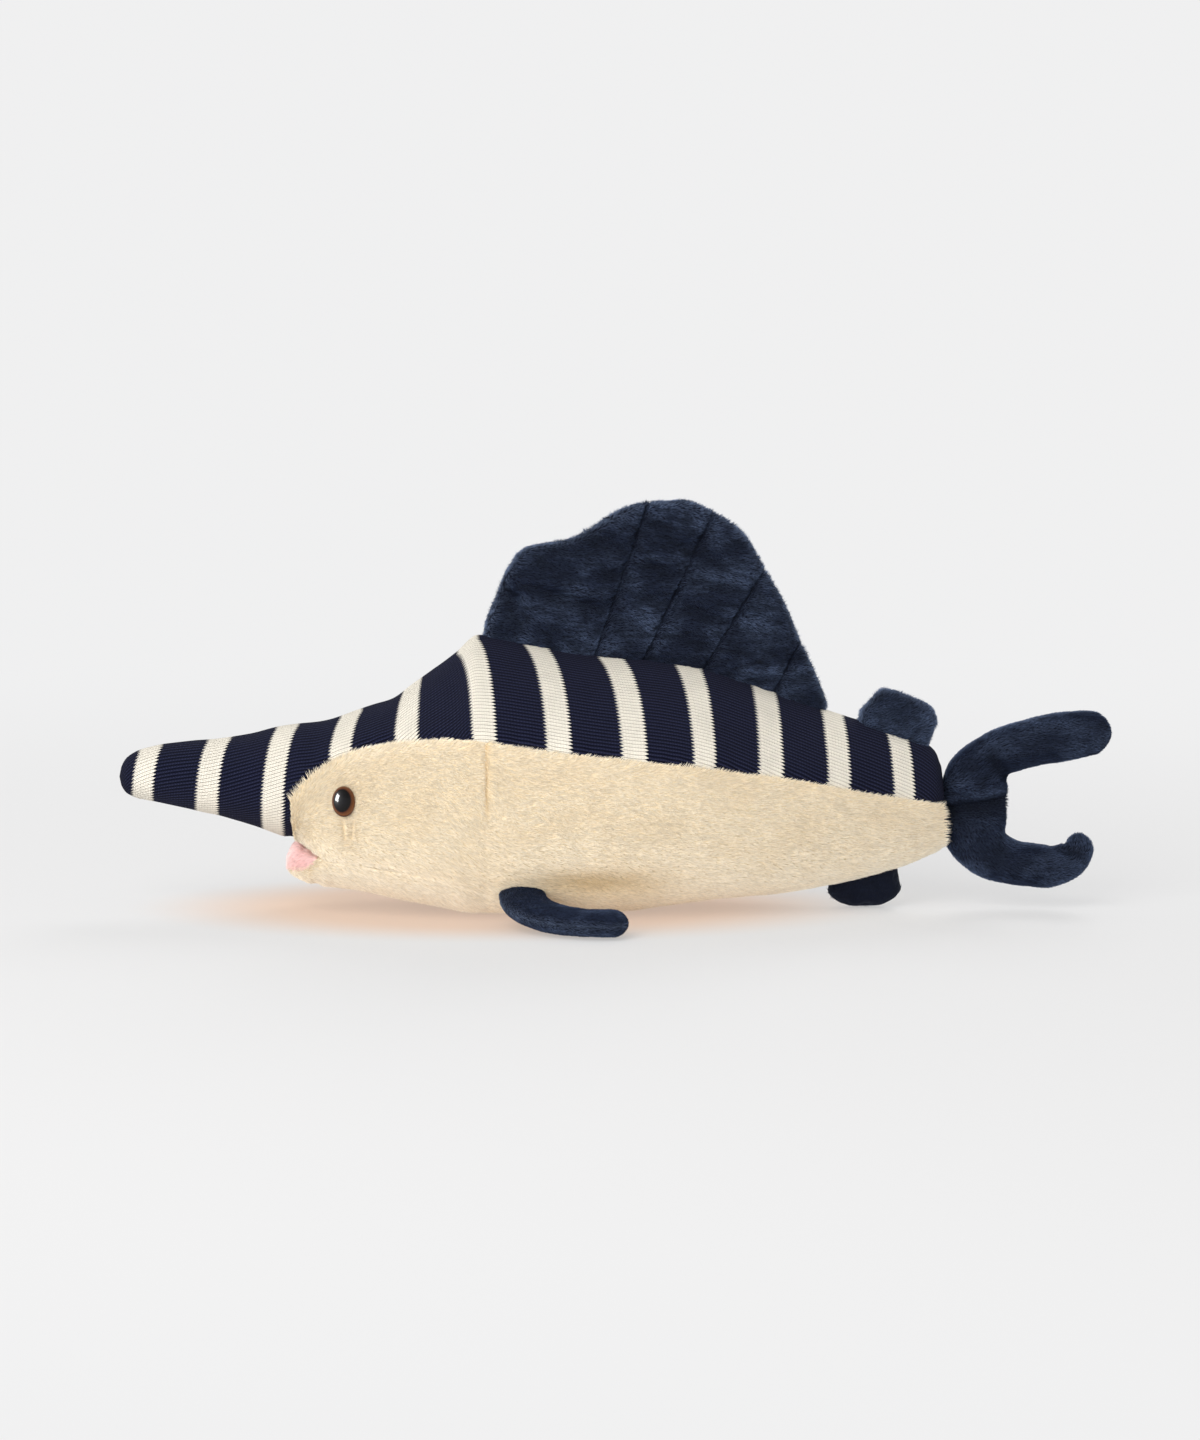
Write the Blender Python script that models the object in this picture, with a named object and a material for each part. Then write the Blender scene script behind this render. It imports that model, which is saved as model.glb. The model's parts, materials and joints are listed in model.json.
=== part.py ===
"""A plush swordfish with a tall sail: striped knit back and bill, cream pile face and belly, navy pile fins.

The toy lies on its belly with its bill towards -X and its tail towards +X. The origin is on the floor, under the
middle of its length and width. All sizes below are in millimetres, and MM turns them into Blender's metres.
"""

import math

import bmesh
import bpy
from mathutils import Matrix, Vector

MM = 0.001
GAP = 0.3  # between pieces that touch
FLOOR = 0.0

# Places along the toy's length
BILL_TIP_X = -180.5
FACE_FRONT_X = -117.3
MOUTH_CORNER_X = -107.0
CREST_X = -50.0
GILL_SEAM_X = -46.5
BODY_END_X = 119.5
STATION_STEP = 5.2

# The body's side view and plan, as (x, size) keys joined by smooth curves
TOP_LINE = [
    (-180.5, 48.6), (-179.6, 52.5), (-177.5, 55.6), (-172, 58.7), (-164, 60.6), (-147, 62), (-134, 64.2),
    (-119, 67.4), (-107, 69), (-98, 71.4), (-88, 74.8), (-81, 77.3), (-75, 81.6), (-67, 87.5), (-58, 94),
    (-50, 100.6), (-33, 98), (-20, 95.4), (-6, 93), (20, 90.2), (32, 88), (49, 82.6), (75, 73.4), (98, 66.3),
    (110, 62.2), (114.5, 59.4), (117.5, 56.2), (119.5, 52.6),
]
BOTTOM_LINE = [
    (-180.5, 48.2), (-179.6, 44.6), (-177.5, 42), (-171, 39.6), (-160, 37.3), (-143, 33.3), (-128, 28.8),
    (-117.3, 24.8), (-114.5, 22.2), (-111, 15), (-107, 8.8), (-102, 8), (-96, 7.4), (-87, 5.6), (-80, 4.1),
    (-70, 2), (-62, 0.3), (-54, -1.3), (-40, -1.8), (-8, -1.6), (6, -0.6), (16, 1), (35, 3.2), (55, 4.9),
    (77, 7.9), (104, 14.4), (119.5, 20.9),
]
HALF_WIDTH_LINE = [
    (-180.5, 0.6), (-179.6, 4), (-177.5, 6.4), (-171, 8.9), (-160, 10.8), (-147, 12.8), (-134, 15.6),
    (-119, 19.8), (-107, 25), (-98, 29), (-88, 32.6), (-78, 35.6), (-65, 38.8), (-50, 41.4), (-32, 42.5),
    (-12, 42.2), (6, 41), (26, 38), (46, 33.5), (66, 27.8), (86, 21.4), (102, 16), (112, 12.4), (119.5, 9.5),
]
WIDEST_SHARE_LINE = [
    (-180.5, 0.5), (-134, 0.5), (-117, 0.45), (-100, 0.45), (-50, 0.42), (20, 0.43), (80, 0.46), (119.5, 0.5),
]
RIDGE_POWER_LINE = [(-180.5, 2), (-125, 2), (-90, 1.85), (-50, 1.6), (40, 1.6), (90, 1.75), (119.5, 2)]
BELLY_POWER_LINE = [(-180.5, 2), (-120, 2), (-100, 2.1), (-50, 2.35), (20, 2.3), (90, 2.1), (119.5, 2)]

# Seams on the side: the knit ends at the side seam, and the chin panel at the chin seam
SIDE_SEAM_LINE = [
    (-117.3, 43), (-114.8, 46.5), (-107, 54.4), (-98, 59.8), (-92, 62.2), (-79, 64.9), (-68, 66.3), (-58, 66.8),
    (-48, 66.5), (-39, 65.2), (-20, 62.6), (7, 59.6), (34, 56), (62, 51.6), (90, 45.4), (119.5, 39.3),
]
CHIN_SEAM_LINE = [
    (-117.3, 25.4), (-115, 24.9), (-112, 23.7), (-107, 21.6), (-103, 19.8), (-88, 18.4), (-73, 16.4),
    (-61, 13.8), (-46.5, 9),
]

# Lower jaw in front of the mouth's corner, and the pink lining that fills the mouth
LIP_X = -119.8
JAW_HINGE = 2.0  # from the flat lip's end to the mouth's corner
JAW_BOTTOM_LINE = [(-119.8, 15.6), (-118.6, 13.5), (-115.4, 11.4), (-111, 9.6), (-107, 8.8)]
JAW_HALF_WIDTH_LINE = [(-119.8, 3.5), (-118.6, 8.5), (-115.4, 13.6), (-111, 17.6), (-107, 20.4)]
LIP_LINE = [(-119.8, 17), (-115.4, 17.4), (-112, 18.1), (-109, 19.6), (-107, 20.9)]
LINING_TOP_LINE = [(-119.6, 18.4), (-118.5, 20.8), (-117, 23.3), (-115, 24.6), (-112, 23.4), (-107.3, 21)]
LINING_POWER = 3.2

# Fins that stand on the middle plane, as rays of (foot x, tip x, tip z)
SAIL_RAYS = [
    (-49.5, -48, 103.5), (-47, -43.4, 112.8), (-43, -40.6, 121.2), (-39, -36.8, 128.6), (-34, -31.5, 133.3),
    (-28.5, -21, 134.6), (-22, -11.5, 137.6), (-15.5, 0, 145.6), (-9, 11.5, 149.1), (0, 24, 149.4),
    (8, 35.3, 145.2), (18.5, 46, 137.6), (29.3, 53.9, 124.4), (42, 60.6, 112.8), (55.5, 66.6, 98.6),
    (66, 71.5, 88), (76, 76.4, 75.5),
]
SAIL_STITCH_FEET = [-9, 8, 29.3, 55.5]
SAIL_FILLED_FEET = [-18.8, -5, 3.8, 13.5, 24, 35, 48, 61, 71]
SAIL_HALF_THICKNESS = 3.3
STITCH_REACH = 2.5
STITCH_PINCH = 0.55
SAIL_SWAY = 1.6
SAIL_SWAY_TURNS = 0.07
REAR_DORSAL_RAYS = [
    (86.5, 88, 72.6), (89.5, 92.4, 77.2), (93, 96.6, 81.4), (98, 101.4, 80.5), (103, 106.4, 78.6),
    (108, 111.6, 76.4), (110.8, 115.2, 73.6), (112, 116.2, 69.6), (113, 115.4, 65.4),
]
REAR_DORSAL_HALF_THICKNESS = 4.6
REAR_DORSAL_LEAN = -2.5
ANAL_RAYS = [
    (77, 76.4, 5.6), (79.5, 79, 2.6), (83, 82.6, 0.4), (88, 88.5, -0.5), (94, 95, -0.4), (99, 100.4, 1.6),
    (101.8, 104, 5), (103, 104.8, 9),
]
ANAL_HALF_THICKNESS = 4.6
FIN_ROOT_DEPTH = 4.0
FIN_RIM_HALF_THICKNESS = 0.9
FIN_EDGE_HALF_THICKNESS = 0.5
SAIL_STEPS_UP = 8
SMALL_FIN_STEPS_UP = 5

# Stuffed arms, as (x, y, z, half breadth, half thickness) keys along the middle line
TAIL_KEYS = [
    (180.57, 1.5, 64.3, 7, 5.2), (172.5, 1.2, 63.9, 8.6, 6.2), (160, 0.6, 62.3, 9.7, 6.8),
    (149, 0, 60.1, 9.2, 6.8), (138.4, 0, 56.4, 9.2, 6.6), (131.6, 0, 48.6, 12.2, 6.6),
    (129.8, 0, 38.6, 13.2, 6.2), (130.4, 0, 29.6, 12.8, 6.4), (135.4, 0, 20.8, 10.4, 6.8),
    (147, -0.8, 16.2, 8.5, 7), (157, -2, 15.6, 8.1, 6.8), (165.2, -3.2, 18.4, 7.4, 6.4),
    (168, -4, 23, 6.2, 5.8), (167.8, -4.3, 28.6, 5.6, 5.2),
]
TAIL_UPPER_SHARE = 0.355
TAIL_LOWER_SHARE = 0.655
TAIL_TIP_ROUND = 7.5
PECTORAL_KEYS = [
    (-34, -27, 11.6, 8.6, 4.3), (-33, -36, 9.3, 9.3, 4.7), (-28.8, -45, 6.9, 9.9, 5.2),
    (-20.5, -52.5, 5.4, 10.1, 5.4), (-11, -57, 5.1, 9.9, 5.3), (-2.5, -59, 5.2, 9.1, 5.2), (4.6, -59.6, 5.3, 8.3, 5),
]
PECTORAL_TIP_ROUND = 6.5
ARM_SIDES = 14
ARM_STEP = 4.0
ROUND_END_SHARES = [0.02, 0.12, 0.3, 0.6]

# Oval plastic eyes
EYE_X = -97.6
EYE_Z = 43.6
EYE_HALF_WIDTH = 4.3
EYE_HALF_HEIGHT = 5.5
EYE_HALF_DEPTH = 3.4
EYE_SINK = 0.7
EYE_LEAN = math.radians(7)

KNIT_NAVY = (0.012, 0.014, 0.045)
PLUSH_CREAM = (0.85, 0.71, 0.48)
PLUSH_NAVY = (0.014, 0.022, 0.06)
LINING_PINK = (0.86, 0.5, 0.5)
EYE_BROWN = (0.05, 0.015, 0.008)
CLOTH_ROUGHNESS = 0.95
EYE_ROUGHNESS = 0.12


def smooth(keys, x):
    """The value at x of a smooth curve through the keys, which never swings past them."""
    if x <= keys[0][0]:
        return keys[0][1]
    if x >= keys[-1][0]:
        return keys[-1][1]
    rises = [(b[1] - a[1]) / (b[0] - a[0]) for a, b in zip(keys, keys[1:])]
    slopes = [rises[0]]
    for before, after in zip(rises, rises[1:]):
        same_way = before * after > 0
        slopes.append(2 * before * after / (before + after) if same_way else 0.0)
    slopes.append(rises[-1])
    i = next(k for k in range(len(rises)) if x <= keys[k + 1][0])
    span = keys[i + 1][0] - keys[i][0]
    t = (x - keys[i][0]) / span
    return (
        (2 * t**3 - 3 * t**2 + 1) * keys[i][1]
        + (t**3 - 2 * t**2 + t) * span * slopes[i]
        + (3 * t**2 - 2 * t**3) * keys[i + 1][1]
        + (t**3 - t**2) * span * slopes[i + 1]
    )


class Section:
    """The body's outline across its length at one x, grown outwards by grow."""

    def __init__(self, x, grow=0.0):
        low = smooth(BOTTOM_LINE, x)
        top = smooth(TOP_LINE, x)
        self.x = x
        self.middle = low + smooth(WIDEST_SHARE_LINE, x) * (top - low)
        self.top = top + grow
        self.low = low - grow
        self.floor = FLOOR - grow
        self.half_width = smooth(HALF_WIDTH_LINE, x) + grow
        self.ridge_power = smooth(RIDGE_POWER_LINE, x)
        self.belly_power = smooth(BELLY_POWER_LINE, x)

    def angle_at(self, z):
        """The angle, from -90 degrees at the belly to 90 at the ridge, where the outline has height z."""
        if z >= self.middle:
            share = min(1.0, (z - self.middle) / (self.top - self.middle))
            return math.asin(share ** (self.ridge_power / 2))
        share = min(1.0, (self.middle - z) / (self.middle - self.low))
        return -math.asin(share ** (self.belly_power / 2))

    def point(self, angle):
        """The outline's (half width, height) at an angle."""
        rising = angle >= 0
        power = self.ridge_power if rising else self.belly_power
        reach = self.top - self.middle if rising else self.low - self.middle
        height = self.middle + reach * abs(math.sin(angle)) ** (2 / power)
        return self.half_width * max(0.0, math.cos(angle)) ** (2 / power), max(height, self.floor)

    def half_width_at(self, z):
        return self.point(self.angle_at(z))[0]

    def band(self, low_angle, high_angle, steps):
        """The closed ring of points between two angles, up the +Y side and down the -Y side."""
        angles = [low_angle + (high_angle - low_angle) * i / steps for i in range(steps + 1)]
        side = [self.point(angle) for angle in angles]
        right = [Vector((self.x, y, z)) for y, z in side]
        left = [Vector((self.x, -y, z)) for y, z in reversed(side)]
        if high_angle >= math.pi / 2:
            left = left[1:]
        if low_angle <= -math.pi / 2:
            left = left[:-1]
        return right + left


class JawSection(Section):
    """The outline of the lower jaw in front of the mouth's corner, with a flat top at the lip."""

    def __init__(self, x):
        super().__init__(x)
        self.low = smooth(JAW_BOTTOM_LINE, x)
        self.middle = self.top = smooth(LIP_LINE, x) - GAP / 2
        self.half_width = smooth(JAW_HALF_WIDTH_LINE, x)


class LiningSection(Section):
    """The outline of the pink lining, which bulges up from the lip to the upper jaw."""

    def __init__(self, x):
        super().__init__(x)
        under_jaw = smooth(CHIN_SEAM_LINE, x) - GAP
        self.middle = smooth(LIP_LINE, x) + GAP / 2
        self.top = max(min(smooth(LINING_TOP_LINE, x), under_jaw), self.middle + GAP)
        self.half_width = smooth(JAW_HALF_WIDTH_LINE, x) - GAP
        self.ridge_power = LINING_POWER


def stations(start, end):
    """The places along the body from start to end, taken from one row of places that all panels share."""
    marks = [FACE_FRONT_X, -114.5, -111, MOUTH_CORNER_X, CREST_X, GILL_SEAM_X, BODY_END_X]
    shared = set(marks)
    for mark, following in zip(marks, marks[1:]):
        count = max(1, round((following - mark) / STATION_STEP))
        shared.update(mark + (following - mark) * i / count for i in range(count))
    return [start, *sorted(x for x in shared if start + GAP < x < end - GAP), end]


def loft(name, rings, colour):
    """An object whose skin runs from ring to ring, with a cap on the first and the last.

    The two halves of a ring mirror each other, and their four-sided faces are split alike.
    """
    mesh = bmesh.new()
    rows = [[mesh.verts.new(point * MM) for point in ring] for ring in rings]
    size = len(rings[0])
    for row, following in zip(rows, rows[1:]):
        for i in range(size):
            j = (i + 1) % size
            if i < size / 2:
                mesh.faces.new((row[i], row[j], following[j]))
                mesh.faces.new((row[i], following[j], following[i]))
            else:
                mesh.faces.new((row[i], row[j], following[i]))
                mesh.faces.new((row[j], following[j], following[i]))
    mesh.faces.new(rows[0])
    mesh.faces.new(rows[-1])
    bmesh.ops.triangulate(mesh, faces=mesh.faces[:])
    bmesh.ops.recalc_face_normals(mesh, faces=mesh.faces[:])
    return new_piece(name, mesh, colour, CLOTH_ROUGHNESS)


def new_piece(name, mesh, colour, roughness):
    """An object for the mesh, with a material of its own."""
    data = bpy.data.meshes.new(name)
    mesh.to_mesh(data)
    mesh.free()
    data.shade_smooth()
    material = bpy.data.materials.new(name)
    material.use_nodes = True
    shader = material.node_tree.nodes["Principled BSDF"]
    shader.inputs["Base Color"].default_value = (*colour, 1)
    shader.inputs["Roughness"].default_value = roughness
    shader.inputs["Metallic"].default_value = 0.0
    data.materials.append(material)
    return bpy.data.objects.new(name, data)


def bill():
    """The knit cone in front of the face."""
    tip = [BILL_TIP_X, -180.1, -179.4, -178, -175.5, -172, -167]
    shaft = [-160, -152, -144, -136, -129, -123, FACE_FRONT_X - GAP / 2]
    rings = [Section(x).band(-math.pi / 2, math.pi / 2, 11) for x in tip + shaft]
    return loft("bill", rings, KNIT_NAVY)


def knit_panel(name, start, end):
    """A length of the knit above the side seam."""
    rings = []
    for x in stations(start, end):
        section = Section(x)
        seam = section.angle_at(smooth(SIDE_SEAM_LINE, x) + GAP / 2)
        rings.append(section.band(seam, math.pi / 2, 8))
    return loft(name, rings, KNIT_NAVY)


def face():
    """The cream head between the side seam and the chin seam, up to the gill seam."""
    rings = []
    for x in stations(FACE_FRONT_X + GAP / 2, GILL_SEAM_X - GAP / 2):
        section = Section(x)
        low = section.angle_at(smooth(CHIN_SEAM_LINE, x) + GAP / 2)
        high = section.angle_at(smooth(SIDE_SEAM_LINE, x) - GAP / 2)
        rings.append(section.band(low, high, 8))
    return loft("face", rings, PLUSH_CREAM)


def belly():
    """The cream body under the side seam, from the gill seam to the tail."""
    rings = []
    for x in stations(GILL_SEAM_X + GAP / 2, BODY_END_X):
        section = Section(x)
        seam = section.angle_at(smooth(SIDE_SEAM_LINE, x) - GAP / 2)
        rings.append(section.band(-math.pi / 2, seam, 10))
    return loft("belly", rings, PLUSH_CREAM)


def lower_jaw():
    """The cream lip and chin under the mouth and the chin seam."""
    lip_places = [LIP_X, -119.3, -118, -115.5, -111.5, MOUTH_CORNER_X - JAW_HINGE]
    rings = [JawSection(x).band(-math.pi / 2, 0.0, 8) for x in lip_places]
    for x in stations(MOUTH_CORNER_X, GILL_SEAM_X - GAP / 2):
        section = Section(x)
        seam = section.angle_at(smooth(CHIN_SEAM_LINE, x) - GAP / 2)
        rings.append(section.band(-math.pi / 2, seam, 8))
    return loft("lower_jaw", rings, PLUSH_CREAM)


def mouth_lining():
    """The pink bulge between the lip and the upper jaw."""
    places = [-119.6, -119, -118, -116.5, -115, -113, -110.5, MOUTH_CORNER_X - JAW_HINGE]
    return loft("mouth_lining", [LiningSection(x).band(0.0, math.pi / 2, 6) for x in places], LINING_PINK)


def body_cutter():
    """The whole body, grown by the gap, which trims what grows from it."""
    places = stations(FACE_FRONT_X + GAP, BODY_END_X)
    rings = [Section(x, GAP).band(-math.pi / 2, math.pi / 2, 20) for x in places]
    rings.append([point + Vector((GAP, 0, 0)) for point in rings[-1]])
    cutter = loft("body_cutter", rings, PLUSH_CREAM)
    cutter.hide_render = True
    cutter.display_type = "WIRE"
    return cutter


def largest_surface(data):
    """Keeps only the mesh's largest closed surface."""
    mesh = bmesh.new()
    mesh.from_mesh(data)
    unseen = set(mesh.verts)
    surfaces = []
    while unseen:
        waiting = [unseen.pop()]
        surface = set(waiting)
        while waiting:
            vert = waiting.pop()
            near = {edge.other_vert(vert) for edge in vert.link_edges} & unseen
            unseen -= near
            surface |= near
            waiting.extend(near)
        surfaces.append(surface)
    kept = max(surfaces, key=len)
    bmesh.ops.delete(mesh, geom=[vert for vert in mesh.verts if vert not in kept])
    mesh.to_mesh(data)
    mesh.free()


def trimmed(piece, cutter):
    """The piece without what lies inside the cutter, so that it meets the body face to face."""
    bpy.context.scene.collection.objects.link(piece)
    cut = piece.modifiers.new("meets_body", "BOOLEAN")
    cut.operation = "DIFFERENCE"
    cut.solver = "EXACT"
    cut.object = cutter
    evaluated = piece.evaluated_get(bpy.context.evaluated_depsgraph_get())
    data = bpy.data.meshes.new_from_object(evaluated)
    piece.modifiers.clear()
    piece.data = data
    largest_surface(data)
    bpy.context.scene.collection.objects.unlink(piece)
    return piece


def tip_of(rays, foot):
    """The (x, z) of the fin's edge where the ray from a foot ends."""
    return smooth([(a, b) for a, b, _ in rays], foot), smooth([(a, c) for a, _, c in rays], foot)


def stitch_share(foot):
    """How near a foot is to a line of quilting: 1 on a line, and 0 away from it."""
    nearest = min(abs(foot - stitch) for stitch in SAIL_STITCH_FEET)
    return max(0.0, 1 - nearest / STITCH_REACH)


def fin_ring(rays, foot, foot_z, half_thickness, steps, sway=0.0):
    """The ring along one ray, up the fin's +Y face and down its -Y face."""
    tip_x, tip_z = tip_of(rays, foot)
    right, left = [], []
    for i in range(steps + 1):
        share = i / steps
        swell = math.sqrt(max(0.0, 1 - share**5))
        half = FIN_RIM_HALF_THICKNESS + max(0.0, half_thickness - FIN_RIM_HALF_THICKNESS) * swell
        if i == steps:
            half = FIN_EDGE_HALF_THICKNESS
        x = foot + (tip_x - foot) * share
        z = max(foot_z + (tip_z - foot_z) * share, FLOOR)
        right.append(Vector((x, sway * share + half, z)))
        left.append(Vector((x, sway * share - half, z)))
    return right + left[::-1]


def end_fullness(foot, first, last, half_thickness):
    """How full a fin is at a foot, from a thin front and back edge to its full thickness."""
    edge_share = min(1.0, min(foot - first, last - foot) / (half_thickness * 1.6))
    return math.sqrt(max(0.08, 1 - (1 - edge_share) ** 2))


def sail():
    """The tall quilted fin, with a shallow groove along each line of stitches."""
    feet = {ray[0] for ray in SAIL_RAYS} | set(SAIL_FILLED_FEET)
    for stitch in SAIL_STITCH_FEET:
        feet |= {stitch - STITCH_REACH, stitch + STITCH_REACH}
    rings = []
    for foot in sorted(feet):
        full = end_fullness(foot, min(feet), max(feet), SAIL_HALF_THICKNESS)
        half = SAIL_HALF_THICKNESS * full * (1 - (1 - STITCH_PINCH) * stitch_share(foot))
        sway = SAIL_SWAY * math.sin(foot * SAIL_SWAY_TURNS)
        foot_z = smooth(TOP_LINE, foot) - FIN_ROOT_DEPTH
        rings.append(fin_ring(SAIL_RAYS, foot, foot_z, half, SAIL_STEPS_UP, sway))
    return loft("sail", rings, PLUSH_NAVY)


def small_fin(name, rays, half_thickness, body_line, root_side, lean=0.0):
    """A small stuffed fin that grows from the body's top or bottom line, with its rim leaning along Y."""
    feet = [ray[0] for ray in rays]
    rings = []
    for foot in feet:
        half = half_thickness * end_fullness(foot, feet[0], feet[-1], half_thickness)
        foot_z = smooth(body_line, foot) + root_side * FIN_ROOT_DEPTH
        rings.append(fin_ring(rays, foot, foot_z, half, SMALL_FIN_STEPS_UP, lean))
    return loft(name, rings, PLUSH_NAVY)


class Arm:
    """A stuffed arm along a smooth line, with oval rings across it and round ends where it has them."""

    def __init__(self, keys, thick_way, round_start=0.0, round_end=0.0):
        lengths = [0.0]
        for a, b in zip(keys, keys[1:]):
            lengths.append(lengths[-1] + (Vector(b[:3]) - Vector(a[:3])).length)
        self.tracks = [[(s, key[k]) for s, key in zip(lengths, keys)] for k in range(5)]
        self.length = lengths[-1]
        self.thick_way = Vector(thick_way)
        self.round_start = round_start
        self.round_end = round_end

    def middle(self, s):
        return Vector([smooth(track, s) for track in self.tracks[:3]])

    def fullness(self, s):
        """How full the arm is near its round ends, from 0 at the end to 1."""
        full = 1.0
        for distance, reach in ((s, self.round_start), (self.length - s, self.round_end)):
            if reach and distance < reach:
                full = min(full, math.sqrt(max(0.0, 1 - (1 - distance / reach) ** 2)))
        return full

    def ring(self, s):
        step = self.length * 0.01
        ahead = min(s + step, self.length)
        behind = max(s - step, 0.0)
        along = (self.middle(ahead) - self.middle(behind)).normalized()
        breadth = along.cross(self.thick_way).normalized()
        thick = breadth.cross(along).normalized()
        half_breadth, half_thick = (smooth(track, s) * self.fullness(s) for track in self.tracks[3:])
        points = []
        for i in range(ARM_SIDES):
            angle = 2 * math.pi * i / ARM_SIDES
            point = self.middle(s) + breadth * half_breadth * math.cos(angle) + thick * half_thick * math.sin(angle)
            point.z = max(point.z, FLOOR)
            points.append(point)
        return points

    def places(self, start, end):
        """Distances along the line from start to end, closer together at a round end."""
        first = start + (self.round_start if start == 0.0 else 0.0)
        last = end - (self.round_end if end == self.length else 0.0)
        count = max(1, round((last - first) / ARM_STEP))
        found = [first + (last - first) * i / count for i in range(count + 1)]
        if first > start:
            found = [self.round_start * share for share in ROUND_END_SHARES] + found
        if last < end:
            found += [self.length - self.round_end * share for share in reversed(ROUND_END_SHARES)]
        return found

    def stretch(self, name, start, end):
        """The solid of the arm's stretch between two distances along its line."""
        return loft(name, [self.ring(s) for s in self.places(start, end)], PLUSH_NAVY)


def tail():
    """The forked tail: a lobe above, the gathered root at the body's end, and a lobe below."""
    arm = Arm(TAIL_KEYS, (0, 1, 0), TAIL_TIP_ROUND, TAIL_TIP_ROUND)
    upper_end = arm.length * TAIL_UPPER_SHARE
    lower_start = arm.length * TAIL_LOWER_SHARE
    return [
        arm.stretch("tail_upper_lobe", 0.0, upper_end - GAP / 2),
        arm.stretch("tail_root", upper_end + GAP / 2, lower_start - GAP / 2),
        arm.stretch("tail_lower_lobe", lower_start + GAP / 2, arm.length),
    ]


def pectoral_fin(name, side):
    """One of the two fins that lie on the floor: side -1 is the toy's left, and 1 its right."""
    keys = [(x, -side * y, z, breadth, thick) for x, y, z, breadth, thick in PECTORAL_KEYS]
    arm = Arm(keys, (0, 0, 1), 0.0, PECTORAL_TIP_ROUND)
    return arm.stretch(name, 0.0, arm.length)


def eye(name, side):
    """An oval plastic eye, half sunk in the face and leaning with it: side -1 is the toy's left."""
    half_width = Section(EYE_X).half_width_at(EYE_Z)
    along_slope = (Section(EYE_X + 1).half_width_at(EYE_Z) - Section(EYE_X - 1).half_width_at(EYE_Z)) / 2
    up_slope = (Section(EYE_X).half_width_at(EYE_Z + 1) - Section(EYE_X).half_width_at(EYE_Z - 1)) / 2
    outward = Vector((-along_slope, side, -up_slope)).normalized()
    along = Vector((0, 0, 1)).cross(outward).normalized()
    up = outward.cross(along)
    mesh = bmesh.new()
    bmesh.ops.create_uvsphere(mesh, u_segments=20, v_segments=10, radius=MM)
    bmesh.ops.scale(mesh, vec=(EYE_HALF_WIDTH, EYE_HALF_HEIGHT, EYE_HALF_DEPTH), verts=mesh.verts)
    ball = new_piece(name, mesh, EYE_BROWN, EYE_ROUGHNESS)
    place = Vector((EYE_X, side * half_width, EYE_Z)) - outward * EYE_SINK
    turn = Matrix((along, up, outward)).transposed() @ Matrix.Rotation(-side * EYE_LEAN, 3, "Z")
    ball.location = place * MM
    ball.rotation_euler = turn.to_euler()
    return ball


def main():
    for stale in list(bpy.data.objects):
        bpy.data.objects.remove(stale)
    toy = bpy.data.collections.new("plush_swordfish")
    cutters = bpy.data.collections.new("cutters")
    for collection in (toy, cutters):
        bpy.context.scene.collection.children.link(collection)
    cutter = body_cutter()
    cutters.objects.link(cutter)
    panels = [
        bill(),
        knit_panel("crown", FACE_FRONT_X + GAP / 2, CREST_X - GAP / 2),
        knit_panel("back", CREST_X + GAP / 2, BODY_END_X),
        face(),
        lower_jaw(),
        mouth_lining(),
        belly(),
    ]
    growing = [
        sail(),
        small_fin(
            "rear_dorsal_fin", REAR_DORSAL_RAYS, REAR_DORSAL_HALF_THICKNESS, TOP_LINE, -1, REAR_DORSAL_LEAN
        ),
        small_fin("anal_fin", ANAL_RAYS, ANAL_HALF_THICKNESS, BOTTOM_LINE, 1),
        *tail(),
        pectoral_fin("pectoral_fin_left", -1),
        pectoral_fin("pectoral_fin_right", 1),
        eye("eye_left", -1),
        eye("eye_right", 1),
    ]
    root = bpy.data.objects.new("toy_origin", None)
    toy.objects.link(root)
    for piece in panels + [trimmed(piece, cutter) for piece in growing]:
        toy.objects.link(piece)
        piece.parent = root


main()
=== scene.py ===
"""Dresses a stuffed swordfish toy in striped knit, cream and navy pile, a pink mouth and glossy eyes.

The toy lies on its belly on a pale studio floor, with its bill to the left of the picture. Sizes are in
millimetres unless a name says otherwise, and MM turns them into Blender's metres.
"""

import json
import logging
import math
from dataclasses import dataclass
from enum import Enum

import bmesh
import bpy
import numpy as np
from mathutils import Matrix, Vector, noise

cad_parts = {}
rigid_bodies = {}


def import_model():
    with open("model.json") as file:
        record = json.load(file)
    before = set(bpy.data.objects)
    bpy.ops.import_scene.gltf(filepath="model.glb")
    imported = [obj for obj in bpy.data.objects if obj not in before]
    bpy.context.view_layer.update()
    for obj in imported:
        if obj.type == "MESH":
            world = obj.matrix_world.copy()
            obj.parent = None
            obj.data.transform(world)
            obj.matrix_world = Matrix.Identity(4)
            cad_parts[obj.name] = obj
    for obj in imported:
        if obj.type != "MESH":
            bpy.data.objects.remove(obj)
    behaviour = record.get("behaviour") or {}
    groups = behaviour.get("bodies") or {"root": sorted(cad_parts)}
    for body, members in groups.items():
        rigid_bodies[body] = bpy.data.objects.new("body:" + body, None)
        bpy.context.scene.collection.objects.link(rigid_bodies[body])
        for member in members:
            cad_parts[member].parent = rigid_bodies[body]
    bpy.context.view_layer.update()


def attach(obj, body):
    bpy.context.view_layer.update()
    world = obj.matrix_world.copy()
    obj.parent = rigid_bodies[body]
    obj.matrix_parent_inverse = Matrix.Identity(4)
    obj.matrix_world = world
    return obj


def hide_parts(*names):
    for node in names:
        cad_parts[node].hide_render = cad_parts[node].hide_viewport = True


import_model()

MM = 0.001
BODY = "root"
GAP = 0.3
FLOOR = 0.0
RIGHT_ANGLE = math.pi / 2
LEAST_LENGTH = 1e-12
FAR = 40  # added to a distance where a seam is absent
WELD_MM = 0.02
SHORTEST_EDGE_MM = 0.001
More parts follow.
